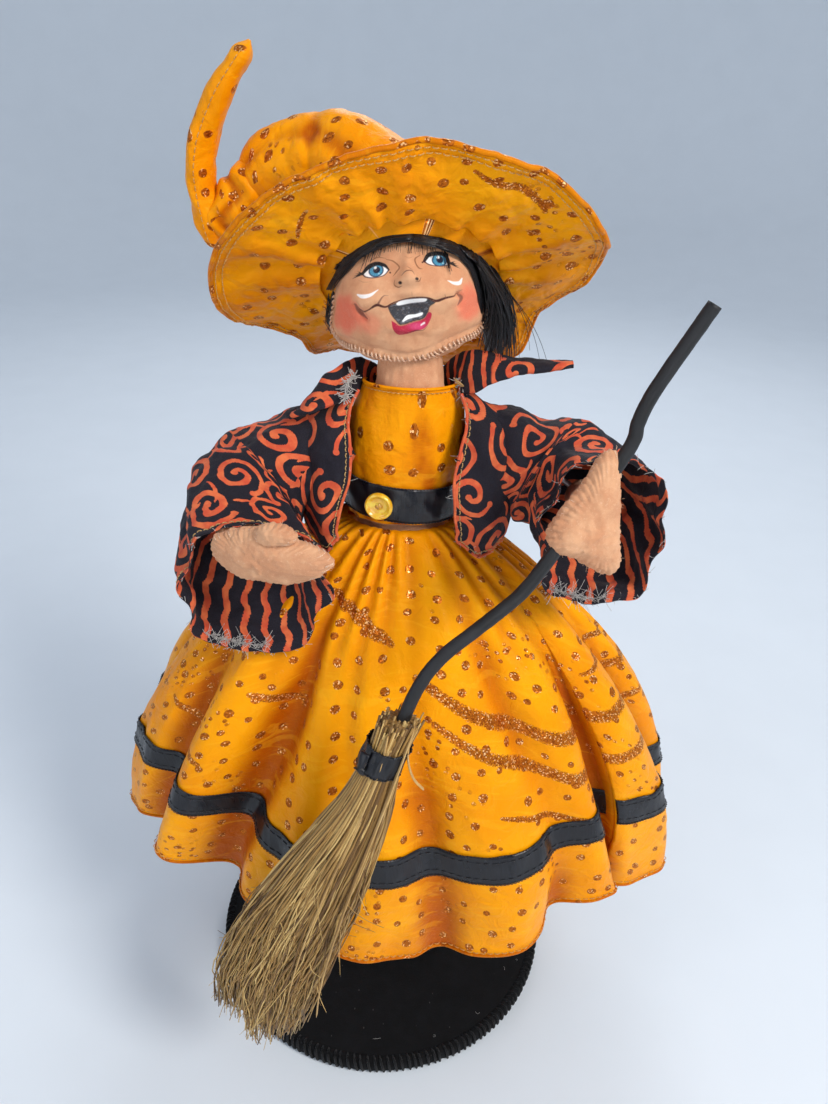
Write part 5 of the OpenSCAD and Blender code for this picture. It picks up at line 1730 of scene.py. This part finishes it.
    lay(stroke_gap(u, v, [(-10.2, -2.1), (-9.1, -2.3), (-7.9, -1.75), (-6.3, -0.8), (-4.6, -1.25),
                          (-3.4, -0.6), (-2.3, -0.1), (1.05, 0.95), (4.4, 1.15), (6.6, 0.5),
                          (8.4, 1.3), (10.0, 1.8), (11.3, 2.5)],
                   [0.14, 0.2, 0.18, 0.34, 0.26, 0.2, 0.16, 0.16, 0.2, 0.34, 0.26, 0.18, 0.08]),
        dark)
    for points, widths in (([(-11.2, -0.8), (-10.1, -2.5), (-8.9, -4.2)], [0.16, 0.5, 0.12]),
                           ([(11.1, 2.3), (11.9, 1.4), (11.6, -0.2)], [0.14, 0.46, 0.1]),
                           ([(-6.0, -0.5), (-5.0, 1.1), (-4.0, 1.25)], [0.26, 0.14, 0.07]),
                           ([(8.0, 2.1), (8.45, 1.3)], [0.05, 0.14]),
                           ([(10.6, 2.5), (11.7, 3.2)], [0.08, 0.04])):
        lay(stroke_gap(u, v, points, widths), (0.13, 0.04, 0.035), 0.85)
    return colour, cover


def jaw_line(count):
    """The oversewn lower edge of the face, as places [angle, height] on the head."""
    rows = [(172, 2), (176, -3), (181, -7.2), (192, -9.8), (208, -10.6), (222, -10.8),
            (238, -12.2), (262, -13.4), (286, -13.2), (303, -11.6), (318, -10.8), (334, -10.6),
            (348, -9.6), (358, -7.0), (364, -2.5), (368, 2)]
    path = smooth_path([(a * 0.28, h, 0) for a, h in rows], count)
    return path[:, 0] / 0.28, path[:, 1]


def make_head():
    h = np.r_[np.linspace(-16.9, -14.5, 14)[:-1], np.linspace(-14.5, 14.2, 250),
              np.linspace(14.2, 17.4, 14)[1:]]
    angle = np.r_[np.linspace(180, 205, 60)[:-1], np.linspace(205, 335, 400),
                  np.linspace(335, 360, 60)[1:-1], np.linspace(360, 540, 150)[:-1]]
    H, A = np.meshgrid(h, angle, indexing="ij")
    P = head_surface(A, H)
    front = smoothstep(182, 200, A) * smoothstep(358, 340, A)
    u, v = face_plan(P)
    jaw_a, jaw_h = jaw_line(700)
    near = np.full(A.shape, 1e9)
    along_jaw = np.zeros(A.shape)
    step = np.r_[0, np.cumsum(np.hypot(np.diff(jaw_a) * 0.28, np.diff(jaw_h)))]
    for k in range(0, 700, 4):
        d = np.hypot(wrap(A - jaw_a[k]) * 0.28, H - jaw_h[k])
        closer = d < near
        near, along_jaw = np.where(closer, d, near), np.where(closer, step[k], along_jaw)
    below = H < np.interp(np.where(A > 372, A - 360, A), jaw_a, jaw_h)
    lumps = np.abs(sin(pi * along_jaw / 1.75))
    out = (face_relief(u, v) * front + 0.55 * bump(near, 0, 0.9) * (0.4 + 0.9 * lumps)
           - 0.7 * bump(near, 1.3, 0.8) * below - 0.3 * bump(near, 1.6, 0.7) * ~below)
    gather = 0.45 * np.abs(sin(np.radians(A) * 14)) * smoothstep(-11, -15.5, H)
    P = P + unit(P - HEAD_C) * (out - gather + 0.12 * fractal(P, 2.2, 321, 2)
                                + 0.18 * fractal(P, 6, 323))[..., None]
    colour, cover = paint_face(u, v, P)
    keep = front * (1 - smoothstep(0.2, 0.8, bump(near, 0, 1.0)) * 0.8)
    worn = np.where(A <= 360, np.clip(cover * keep, 0, 1), 0.0)
    obj = solid("head_felt", P, M["face"], colours={"paint": colour}, values={"cover": worn})
    finish_piece(obj, "head", "flesh_felt", "head_front", "head_back")
    path = head_surface(jaw_a, jaw_h)
    out_way = unit(path - HEAD_C)
    path = path + out_way * 0.7
    random = np.random.default_rng(331)
    loops = []
    for k in range(8, 692, 11):
        t = np.linspace(-1, 1, 9)[:, None]
        run = unit(path[min(k + 3, 699)] - path[k - 3])
        side = np.cross(run, out_way[k])
        loops.append(path[k] + out_way[k] * (0.25 - 0.75 * t ** 2) + side * t * 1.05
                     + run * t * (0.4 + random.normal(0, 0.1)))
    sew("head", "flesh_felt", "face_oversewing", loops, 0.24, "skin_yarn", 6)
    fuzz = frayed(path[::3], 333, 420, 0.75)
    sew("head", "flesh_felt", "face_fuzz", fuzz, 0.035, "skin_yarn", 4)


def make_hair():
    """A cap of straight strands: a thin fringe combed to both sides, long on the left."""
    random = np.random.default_rng(341)
    share = np.linspace(0, 1, 220)
    h = np.linspace(-9.5, 12, 80)
    H, S = np.meshgrid(h, share, indexing="ij")
    first = -12 - 22 * smoothstep(2, 9, H)
    last = 176 + 36 * smoothstep(3, 9.5, H)
    A = first + (last - first) * S
    comb = 0.22 * sin(A * 2.1 + 1.2 * sin(H * 0.5)) + 0.12 * sin(A * 5.3)
    low = smoothstep(-9.5, -7.5, H)
    P = head_surface(A, H, 0.9 + comb + 0.4 * low + 0.3 * fractal(
        head_surface(A, H), 2.5, 343, 2))
    uv = grid_uv(P, False)[..., ::-1]
    # painted shade and highlight: the cap's tone follows the comb ridges, darker in the grooves and
    # lighter on the raised strands
    cap = cloth("hair_cap", P, 0.5, M["hair"], M["hair"], False, uv,
                values={"tone": np.clip(0.5 + 1.2 * comb, 0, 1)}, centre=tuple(HEAD_C))
    finish_piece(cap, "head", "black_hair", "hair")
    strands, tones, radii = [], [], []

    def strand(points, radius):
        strands.append(smooth_path(points, 14))
        tones.append(random.uniform(0, 1))
        radii.append(radius * np.linspace(1, 0.35, 14) ** 0.6)

    left_arch = [(1, 13.2), (-3.7, 12.7), (-7, 11.5), (-10.2, 9.6), (-13.2, 7.2), (-15.9, 4.4),
                 (-17.6, 2.0)]
    right_arch = [(1, 13.2), (6.4, 12.5), (9.9, 11.6), (13.2, 9.8), (15.9, 6.0), (17.6, 0.4),
                  (19.2, -4.6), (21.0, -10.0), (23.4, -15.6)]
    for arch, count, thick in ((left_arch, 330, 5.0), (right_arch, 620, 5.0)):
        for _ in range(count):
            gap = random.uniform(0, 1) ** 0.8
            first = random.integers(0, 3)
            last = random.integers(len(arch) - 3, len(arch) + 1)
            picked = arch[first:last]
            grow = thick * gap - 0.3 + random.normal(0, 0.2)
            deep = random.uniform(0.2, 2.0) * (1 - 0.6 * gap)
            points = []
            for x, y in picked:
                scale = 1 + grow / max(np.hypot(x, y), 9)
                x, y = x * scale + random.normal(0, 0.1), y * scale + random.normal(0, 0.1)
                h_here = np.clip(y - 1.5, -16, 16)
                wide = along(HEAD_A, h_here) * 1.04
                deep_here = along(HEAD_B, h_here)
                back = -deep_here * math.sqrt(max(0.02, 1 - min(abs(x) / wide, 1) ** 2)) - 0.9
                if abs(x) > wide:
                    back += 2.5 * (abs(x) - wide)
                yy = HEAD_C[1] + back - deep * 0.4
                points.append((HEAD_C[0] + x, yy, HEAD_C[2] + y - 0.21 * (yy + 18)))
            if len(points) > 2:
                strand(points, random.uniform(0.09, 0.17))
    for _ in range(520):
        a0 = random.uniform(-10, 174)
        start, end = random.uniform(6, 14), random.uniform(-11.5, -8.5)
        lift = random.uniform(1.6, 2.5)
        drift = random.normal(0, 3)
        points = [head_surface(a0 + drift * t, start + (end - start) * t,
                               lift + 0.5 * math.sin(5 * t + a0)) for t in np.linspace(0, 1, 6)]
        strand(points, random.uniform(0.1, 0.18))
    for _ in range(330):
        a0 = random.uniform(-24, 20)
        base = head_surface(a0, random.uniform(4, 10), 1.6)
        fall = random.uniform(15, 26)
        sweep = np.array([random.uniform(3.5, 10.5), random.uniform(-1, 4), -fall])
        points = [base + sweep * t + np.array([2.6 * math.sin(pi * t), 0, 0])
                  for t in np.linspace(0, 1, 6)]
        strand(points, random.uniform(0.1, 0.16))
    for _ in range(60):
        x = random.uniform(-9.5, 9)
        top = 12.9 - 0.055 * x * x
        drop = random.uniform(0.8, 2.6)
        points = []
        for t in np.linspace(0, 1, 4):
            h = top + 2.2 - (drop + 2.2) * t
            deep = along(HEAD_B, h) * math.sqrt(max(0.02, 1 - (x / along(HEAD_A, h)) ** 2))
            y = HEAD_C[1] - deep - 1.1
            points.append((HEAD_C[0] + x * (1 + 0.12 * t) + random.normal(0, 0.08), y,
                           HEAD_C[2] + h - 0.21 * (y + 18)))
        strand(points, random.uniform(0.06, 0.1))
    for reach in ((13.5, 1.5, -22), (16.5, 2.5, -25), (19, 1, -27), (11, 0, -26)):
        base = head_surface(2, 4, 1.8)
        points = [base + np.array(reach) * t + np.array([3 * math.sin(pi * t), 0, 1.5 * t])
                  for t in np.linspace(0, 1, 7)]
        strand(points, 0.09)
    hair = tubes("hair_strands", strands, radii, M["hair"], 4, {"tone": tones})
    finish_piece(hair, "head", "black_hair")


# ---------- hat ----------

TILT, LEAN = np.radians(44), np.radians(8)
BRIM_C = np.array([2, -4, 232.5])


def hat_frame(p):
    """From the brim's own frame to the row's: x to the left, y to the back, z out of it."""
    p = np.asarray(p, float)
    x, y, z = p[..., 0], p[..., 1], p[..., 2]
    y1 = y * cos(TILT) + z * sin(TILT)
    z1 = -y * sin(TILT) + z * cos(TILT)
    return BRIM_C + np.stack([x * cos(LEAN) - z1 * sin(LEAN), y1,
                              x * sin(LEAN) + z1 * cos(LEAN)], -1)


def brim_surface(share, angle, off=0.0):
    """The brim between its hole (share 0) and edge (1), at an angle in degrees."""
    a = np.radians(angle)
    edge = (46.4 - 2 * sin(a) ** 2 - 7.5 * bump(wrap(angle - 33), 0, 14)
            - 8.0 * bump(wrap(angle - 147), 0, 14) - 5.5 * bump(wrap(angle - 272), 0, 42))
    radius = 21.3 + (edge - 21.3) * share
    lift = share ** 2 * (2.0 * sin(a) ** 2 + 1.0 * sin(3 * a + np.radians(40)))
    wave = share ** 1.5 * (1.5 * sin(4 * a + 0.8) + 0.7 * sin(9 * a + 2))
    side = -2.8 * share ** 3 * (bump(wrap(angle - 196), 0, 16) + bump(wrap(angle + 12), 0, 15))
    pleat_at = a + 0.05 * sin(7 * a)
    pleats = (0.75 * sin(19 * pleat_at + 2 * sin(3 * a)) * (1 - share) ** 1.2
              + 0.55 * sin(11 * pleat_at + 3 * share) * share * (1 - share) * 3)
    flat = np.stack([radius * cos(a), radius * sin(a), 0 * radius], -1)
    crumple = 1.0 * fractal(flat, 15, 351) * share + 0.5 * fractal(flat, 6, 353) \
        + 0.16 * fractal(flat, 2, 355, 2)
    hang = -3.0 * share * smoothstep(0.2, 1, sin(a)) * sin(2 * a)
    height = lift + wave + side + pleats + crumple + hang + off
    # second value: painted shade, low in the hollows of pleats and crumples
    return hat_frame(np.stack([radius * cos(a), radius * sin(a), height], -1)), \
        np.clip(0.62 + 0.3 * pleats + 0.25 * crumple, 0, 1)


def make_brim():
    share = np.linspace(0, 1, 80)
    angle = np.linspace(0, 360, 640, endpoint=False)
    S, A = np.meshgrid(share, angle, indexing="ij")
    round_it = np.radians(np.linspace(0, 360, 641))
    reach = 21.3 + 25 * share[:, None]
    uv = np.stack([reach * cos(round_it), reach * sin(round_it)], 2)
    streak = arc_mask(A, S * 25, [(296, 19), (305, 17.6), (315, 18.4), (325, 17)], 1.5)
    streak = np.maximum(streak, arc_mask(A, S * 25, [(222, 10), (230, 13), (236, 15)], 1.0))
    for name, off, node, way in (("hat_brim_top_cloth", 0.75, "hat_brim_top", 1),
                                 ("hat_brim_lining_cloth", 0.0, "hat_brim_lining", -1)):
        P, fold = brim_surface(S, A, off)
        centre = hat_frame(np.array([0, 0, -1000.0 * way]))
        obj = cloth(name, P, 0.3, M["gold"], M["lining"], True, uv,
                    values={"fold": fold, "glitter": streak}, centre=tuple(centre))
        finish_piece(obj, "head", "gold_organza", node)
    # painted shade: the binding is given a low shade value, so it takes the deep colour
    edge = looped(brim_surface(1.0 + 0 * angle, angle, 0.3)[0])
    sew("head", "gold_organza", "hat_brim_binding", [edge], 0.62, "gold", 10,
        {"fold": [0.3], "glitter": [0.0]})
    under = -unit(hat_frame(np.array([0, 0, 1.0])) - BRIM_C)
    threads = []
    for share_here in (0.955, 0.895):
        for off, way in ((-0.32, under), (0.8, -under)):
            line = looped(brim_surface(share_here + 0 * angle, angle, off)[0])
            threads += stitches(line, np.broadcast_to(way, line.shape), 1.7, 1.3, 0.0, 0.14,
                                sides=6)
    sew("head", "gold_organza", "hat_brim_stitching", threads, 0.13, "gold_thread", 5)


def make_crown():
    up = unit(hat_frame([0, 0, 1.0]) - BRIM_C)
    rows = [(hat_frame([0, 0, 0.9]), up, 22.4, 22.4), (hat_frame([0, 0, 5]), up, 21.3, 21.3),
            ((0, 7.5, 245), (-.25, .62, .75), 17.6, 16.0),
            ((-7.5, 13.5, 251.5), (-.6, .45, .6), 15.0, 13.0),
            ((-18.0, 17.3, 256.6), (-.92, .2, .0), 12.0, 10.6),
            ((-28.5, 19.3, 254.8), (-.9, .05, -.3), 8.8, 9.6),
            ((-36.8, 20, 250.8), (-.88, 0, -.5), 7.0, 7.4),
            ((-41.6, 20, 247.0), (-.92, 0, -.4), 3.4, 3.4)]
    P, table = lofted(rows, 190, 260, 2.05)
    s = np.linspace(0, 1, len(P))[:, None]
    a = around(P.shape[1])[None]
    out = unit(P - table[:, None, :3])
    zigzag = 0.3 * sin(17 * s + 2.4 * sin(2 * a + 1) + 1.4 * sin(3 * a + 4 * s)) \
        * smoothstep(0.2, 0.4, s) * smoothstep(1.0, 0.8, s)
    zigzag = zigzag - 0.7 * bump(s, 0.44 + 0.03 * sin(a), 0.03) \
        * (0.5 + 0.5 * sin(a + 2.4)) - 0.8 * bump(s, 0.63 + 0.02 * cos(a), 0.025)
    long_folds = 0.55 * sin(5 * a + 1.6 * sin(3 * s)) * smoothstep(0.05, 0.4, s)
    crumple = 0.6 * fractal(P, 13, 361) + 0.3 * fractal(P, 3.4, 363, 2)
    fade = smoothstep(0, 0.08, s)
    P = P + out * ((zigzag + long_folds + crumple) * fade)[..., None]
    # painted shade in the hollows of the crown's zigzag creases and folds
    fold = np.clip(0.6 + 0.5 * zigzag + 0.4 * long_folds + 0.3 * crumple, 0, 1)
    obj = solid("hat_crown_cloth", P, M["gold"],
                values={"fold": fold, "glitter": np.zeros_like(fold)})
    finish_piece(obj, "head", "gold_organza", "hat_crown")
    rows = [((-48.6, 20.2, 234.6), 0.8), ((-49.4, 20, 236.4), 3.4), ((-49.9, 20, 240), 5.0),
            ((-50.6, 20, 245), 5.0), ((-51.2, 19, 252), 4.6), ((-49, 17, 261), 4.3),
            ((-44, 14, 270), 3.8), ((-38.8, 12, 276.8), 3.1), ((-37.0, 11.5, 279), 2.3),
            ((-36.0, 11.3, 280.8), 0.4)]
    path = smooth_path([(*c, r) for c, r in rows], 200)
    P = rings_along(path[:, :3], path[:, 3] * 0.8, path[:, 3] * 1.12, 110, (0, 1, 0))
    s = np.linspace(0, 1, len(P))[:, None]
    a = around(P.shape[1])[None]
    out = unit(P - path[:, None, :3])
    wrinkle = 0.22 * sin(31 * s + 2.6 * sin(a + 2) + 1.2 * sin(3 * a)) * bump(s, 0.22, 0.2)
    P = P + out * (wrinkle + 0.45 * fractal(P, 6.5, 365) + 0.16 * sin(3 * a + 5 * s))[..., None]
    # painted shade in the hollows of the tip's wrinkles
    fold = np.clip(0.6 + 0.5 * wrinkle, 0, 1)
    obj = solid("hat_tip_cloth", P, M["gold"],
                values={"fold": fold, "glitter": np.zeros_like(fold)})
    finish_piece(obj, "hat_tip", "gold_organza", "hat_tip")
    rows = [((-35.5, 20, 251.6), (-.9, 0, -.5), 6.2, 6.4),
            ((-40, 20, 248.4), (-.88, 0, -.5), 6.6, 6.2),
            ((-44.6, 20, 244.6), (-.8, 0, -.6), 6.2, 5.6),
            ((-48.4, 20, 241.2), (-.7, 0, -.7), 5.4, 4.8),
            ((-50.2, 20, 239.2), (-.7, 0, -.7), 3.4, 3.0)]
    Q, spine = lofted(rows, 60, 90)
    pinch = 0.5 * sin(0.9 * Q[..., 0] + 2 * sin(0.5 * Q[..., 2]))
    Q = Q + unit(Q - spine[:, None, :3]) * (pinch + 0.5 * fractal(Q, 4, 367))[..., None]
    # painted shade in the hollows of the pinches
    hinge = cloth("hat_fold_cloth", Q, 0.3, M["gold"], M["lining"], True,
                  values={"fold": np.clip(0.5 + 0.6 * pinch, 0, 1),
                          "glitter": np.zeros(pinch.shape)}, centre="path")
    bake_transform(hinge)
    line = P[4:-4, 80]
    seam = stitches(line, out[4:-4, 80], 1.8, 1.3, 0.0, 0.15, sides=6)
    sew("hat_tip", "gold_organza", "hat_tip_seam", seam, 0.13, "gold_thread", 5)


# ---------- broom ----------

GRIP_TOP, GRIP_LOW = np.array([49.6, -44.4, 208]), np.array([33.2, -51.2, 182])
STRAW_ROWS = np.array([[36, -31, -67, 8.5, 6], [52, -30.5, -67, 12, 7],
                       [68, -27.6, -67, 14.2, 7.4], [90, -19.6, -66.5, 13.6, 7],
                       [110, -10.8, -65.8, 10, 6], [126, -3.8, -64.8, 6.4, 5],
                       [136, -.6, -64, 4.2, 4.1], [142, 1.4, -63.4, 4.1, 4.0],
                       [149, 3.8, -62.5, 5.2, 4.6]])


def in_bundle(z, rho, theta):
    """A place in the straw at height z, a share rho out from its middle, towards theta."""
    c = [np.interp(z, STRAW_ROWS[:, 0], STRAW_ROWS[:, k]) for k in (1, 2, 3, 4)]
    return np.stack([c[0] + c[2] * rho * cos(theta), c[1] + c[3] * rho * sin(theta),
                     z + 0 * rho * theta], -1)


def make_broom():
    path = smooth_path([(61, -45, 238), (56.3, -44.8, 228.4), (52.3, -44.4, 219.6),
                        (50.5, -44.2, 213.5), (49.6, -44.4, 208), (41.4, -47.8, 195),
                        (33.2, -51.2, 182), (28.2, -53.6, 176.0), (20, -56.8, 169.6),
                        (12.2, -59.5, 163.4), (7.2, -61.2, 156), (3.0, -62.8, 144),
                        (-2.5, -64.6, 126)], 240)
    P = rings_along(path, 1.52, 1.52, 32, (0, 1, 0))
    P = P + unit(P - path[:, None]) * (0.05 * fractal(P, 1.2, 371, 2))[..., None]
    finish_piece(solid("broom_handle_rod", P, M["handle"]), "broom", "charcoal_handle",
                 "broom_handle")
    random = np.random.default_rng(373)
    strands, tones, radii = [], [], []

    def stalk(points, radius, tone):
        strands.append(smooth_path(points, 22))
        tones.append(np.clip(tone, 0, 1))
        radii.append(radius)

    for k in range(860):
        rho, theta = math.sqrt(random.uniform(0, 1)), random.uniform(0, TAU)
        if k % 3 == 0:
            rho, theta = random.uniform(0.86, 1.04), random.uniform(pi, TAU)
        top = random.uniform(141, 149.5) if k % 2 else random.uniform(136, 142)
        end = 42 + 22 * random.beta(1.1, 2.2) + 9 * (rho * cos(theta) < -0.4)
        z = np.linspace(top, end, 9)
        wave = random.uniform(0.3, 1.1) * np.clip((134 - z) / 50, 0, 1)
        phase, beat = random.uniform(0, TAU, 2), random.uniform(0.07, 0.16)
        points = in_bundle(z, rho + 0 * z, theta + 0 * z)
        points[:, 0] += wave * 1.7 * sin(beat * z * 1.4 + phase[0])
        points[:, 1] += wave * 1.0 * sin(beat * z * 1.7 + phase[1])
        points[:, 0] += random.normal(0, 0.5) * np.clip((100 - z) / 60, 0, 1)
        stalk(points, random.uniform(0.14, 0.30) * np.linspace(1.15, 0.6, 22),
              random.uniform(0, 1) ** 0.9)
        if k % 2 == 0:
            for _ in range(2):
                at = random.integers(3, 8)
                base = points[at]
                inner = -0.3 * np.sign(rho * cos(theta)) * (rho > 0.7)
                way = np.array([random.normal(-0.25 + inner, 0.3), random.normal(0, 0.2),
                                -random.uniform(0.6, 1)])
                length = random.uniform(6, 14)
                bend = random.normal(0, 0.22, 3)
                twig = [base + way * length * t + bend * length * t ** 2
                        for t in (0, 0.35, 0.7, 1)]
                twig = [np.array([p[0], p[1], max(p[2], 35.5)]) for p in twig]
                stalk(twig, random.uniform(0.08, 0.14) * np.linspace(1.1, 0.5, 22),
                      random.uniform(0.2, 1))
    sew("broom", "broom_straw", "broom_stalks", strands, radii, "straw", 5, {"tone": tones},
        "broom_straw")
    core_z = np.linspace(148.2, 44, 60)
    theta = around(60)
    Z, T = np.meshgrid(core_z, theta, indexing="ij")
    fill = 0.74 * smoothstep(36, 58, Z) + 0.02
    core = in_bundle(Z, fill, T)
    core += (0.5 * sin(T * 19 + 0.12 * Z))[..., None] * unit(core - in_bundle(Z, 0 * Z, T))
    # painted shade: the inner core takes darker straw tones than the stalks, for the shade deep in
    # the bundle
    finish_piece(solid("broom_core", core, M["straw"],
                       values={"tone": 0.2 + 0.25 * sin(T * 11) ** 2}), "broom", "broom_straw")
    blades = []
    for line, wide in (([(6.8, -65.4, 148.8), (4.0, -67.4, 139), (-0.4, -70.0, 124),
                         (-6.4, -72.6, 104), (-11.4, -74.0, 84), (-14.4, -74.2, 68),
                         (-15.6, -73.8, 56)], 1.3),
                       ([(1.0, -67.0, 147), (-0.6, -67.9, 138), (-5.0, -70.0, 124),
                         (-12.4, -73.0, 104), (-18.6, -74.3, 84), (-22.6, -74.4, 66)], 0.8),
                       ([(6.8, -64.4, 149.5), (5.6, -65.8, 141), (6.9, -66.6, 135),
                         (9.6, -67.0, 131.5)], 0.6)):
        spine = smooth_path(line, 60)
        taper = np.linspace(1, 0.75, 60) * np.r_[0.6, np.ones(58), 0.4]
        Q = rings_along(spine, 0.28 * taper, wide * taper, 14, (0, 1, 0))
        blades.append(Q)
    names = ("broom_splint_long", "broom_splint_short", "broom_splint_curl")
    for name, Q in zip(names, blades):
        obj = solid(name, Q, M["splint"], values={"tone": 0.55 + 0.3 * fractal(Q, 9, 377)})
        finish_piece(obj, "broom", "broom_splint",
                     *(["broom_splints"] if name.endswith("long") else []))
    a = around(120)
    e = np.linspace(-1, 1, 13)
    E, A = np.meshgrid(e, a, indexing="ij")
    off = 5.15 + 0.22 * sin(5 * A + 2 * E) * (1 - E ** 2) + 0.12 * sin(13 * A)
    P = np.stack([0.3 + 1.15 * E + off * cos(A), -63.7 + 0.3 * E + (off - 0.15) * sin(A),
                  139 + 3.2 * E - 0.2 * off * cos(A)], 2)
    tie = cloth("broom_tie_satin", P, 0.25, M["satin"], M["satin"], True)
    finish_piece(tie, "broom", "black_satin", "broom_tie")
    edges = []
    for row in (0, -1):
        line = looped(P[row])
        edges += stitches(line, outward(line, (0.3, -63.7, 0)), 0.9, 0.75, 0, 0.14,
                          sides=5)
    knot_path = smooth_path([(-3.8, -67.4, 142.4), (-4.6, -68.2, 140.8), (-5.2, -68.4, 138.8),
                             (-4.8, -68.0, 137.2)], 12)
    sew("broom", "black_satin", "broom_tie_picot", edges, 0.11, "black_thread", 5)
    Q = rings_along(knot_path, 1.3, 0.6, 20)
    finish_piece(solid("broom_tie_tuck", Q, M["satin"]), "broom", "black_satin")


make_neck()
make_head()
make_hair()
make_brim()
make_crown()
make_broom()


# ---------- studio ----------

def make_studio():
    """A pale bowl: flat floor that curves up into a distant wall all round."""
    rows = [(0.01, 0), (150, 0), (500, 0), (1000, 0), (1300, 30), (1500, 160), (1600, 420),
            (1640, 1000), (1640, 1900)]
    path = smooth_path([(r, 0, z) for r, z in rows], 80)
    path[:, 2] = np.where(path[:, 0] < 1000, 0, path[:, 2])
    a = around(96)
    P = turned(path, a)
    quads, _ = grid_faces(len(P), 96, True)
    floor = new_object("floor", P.reshape(-1, 3), quads, M["floor"])
    world = bpy.data.worlds.new("studio")
    world.use_nodes = True
    back = world.node_tree.nodes["Background"]
    back.inputs["Color"].default_value = (0.80, 0.87, 1.0, 1)
    back.inputs["Strength"].default_value = 0.5
    bpy.context.scene.world = world
    bpy.context.scene.view_settings.view_transform = "Standard"
    area_light("key", (0.55, -0.55, 0.75), (0, 0, 0.17), 0.35, 8, (1.0, 0.97, 0.93))
    area_light("fill", (-0.75, -0.5, 0.5), (0, 0, 0.15), 0.6, 2.0, (0.93, 0.96, 1.0))
    area_light("front", (-0.05, -0.7, 0.12), (0, 0, 0.23), 0.3, 0.6, (1.0, 0.97, 0.93))
    area_light("back", (0.1, 0.8, 0.8), (0, 0, 0.15), 0.6, 3, (0.95, 0.97, 1.0))


make_studio()
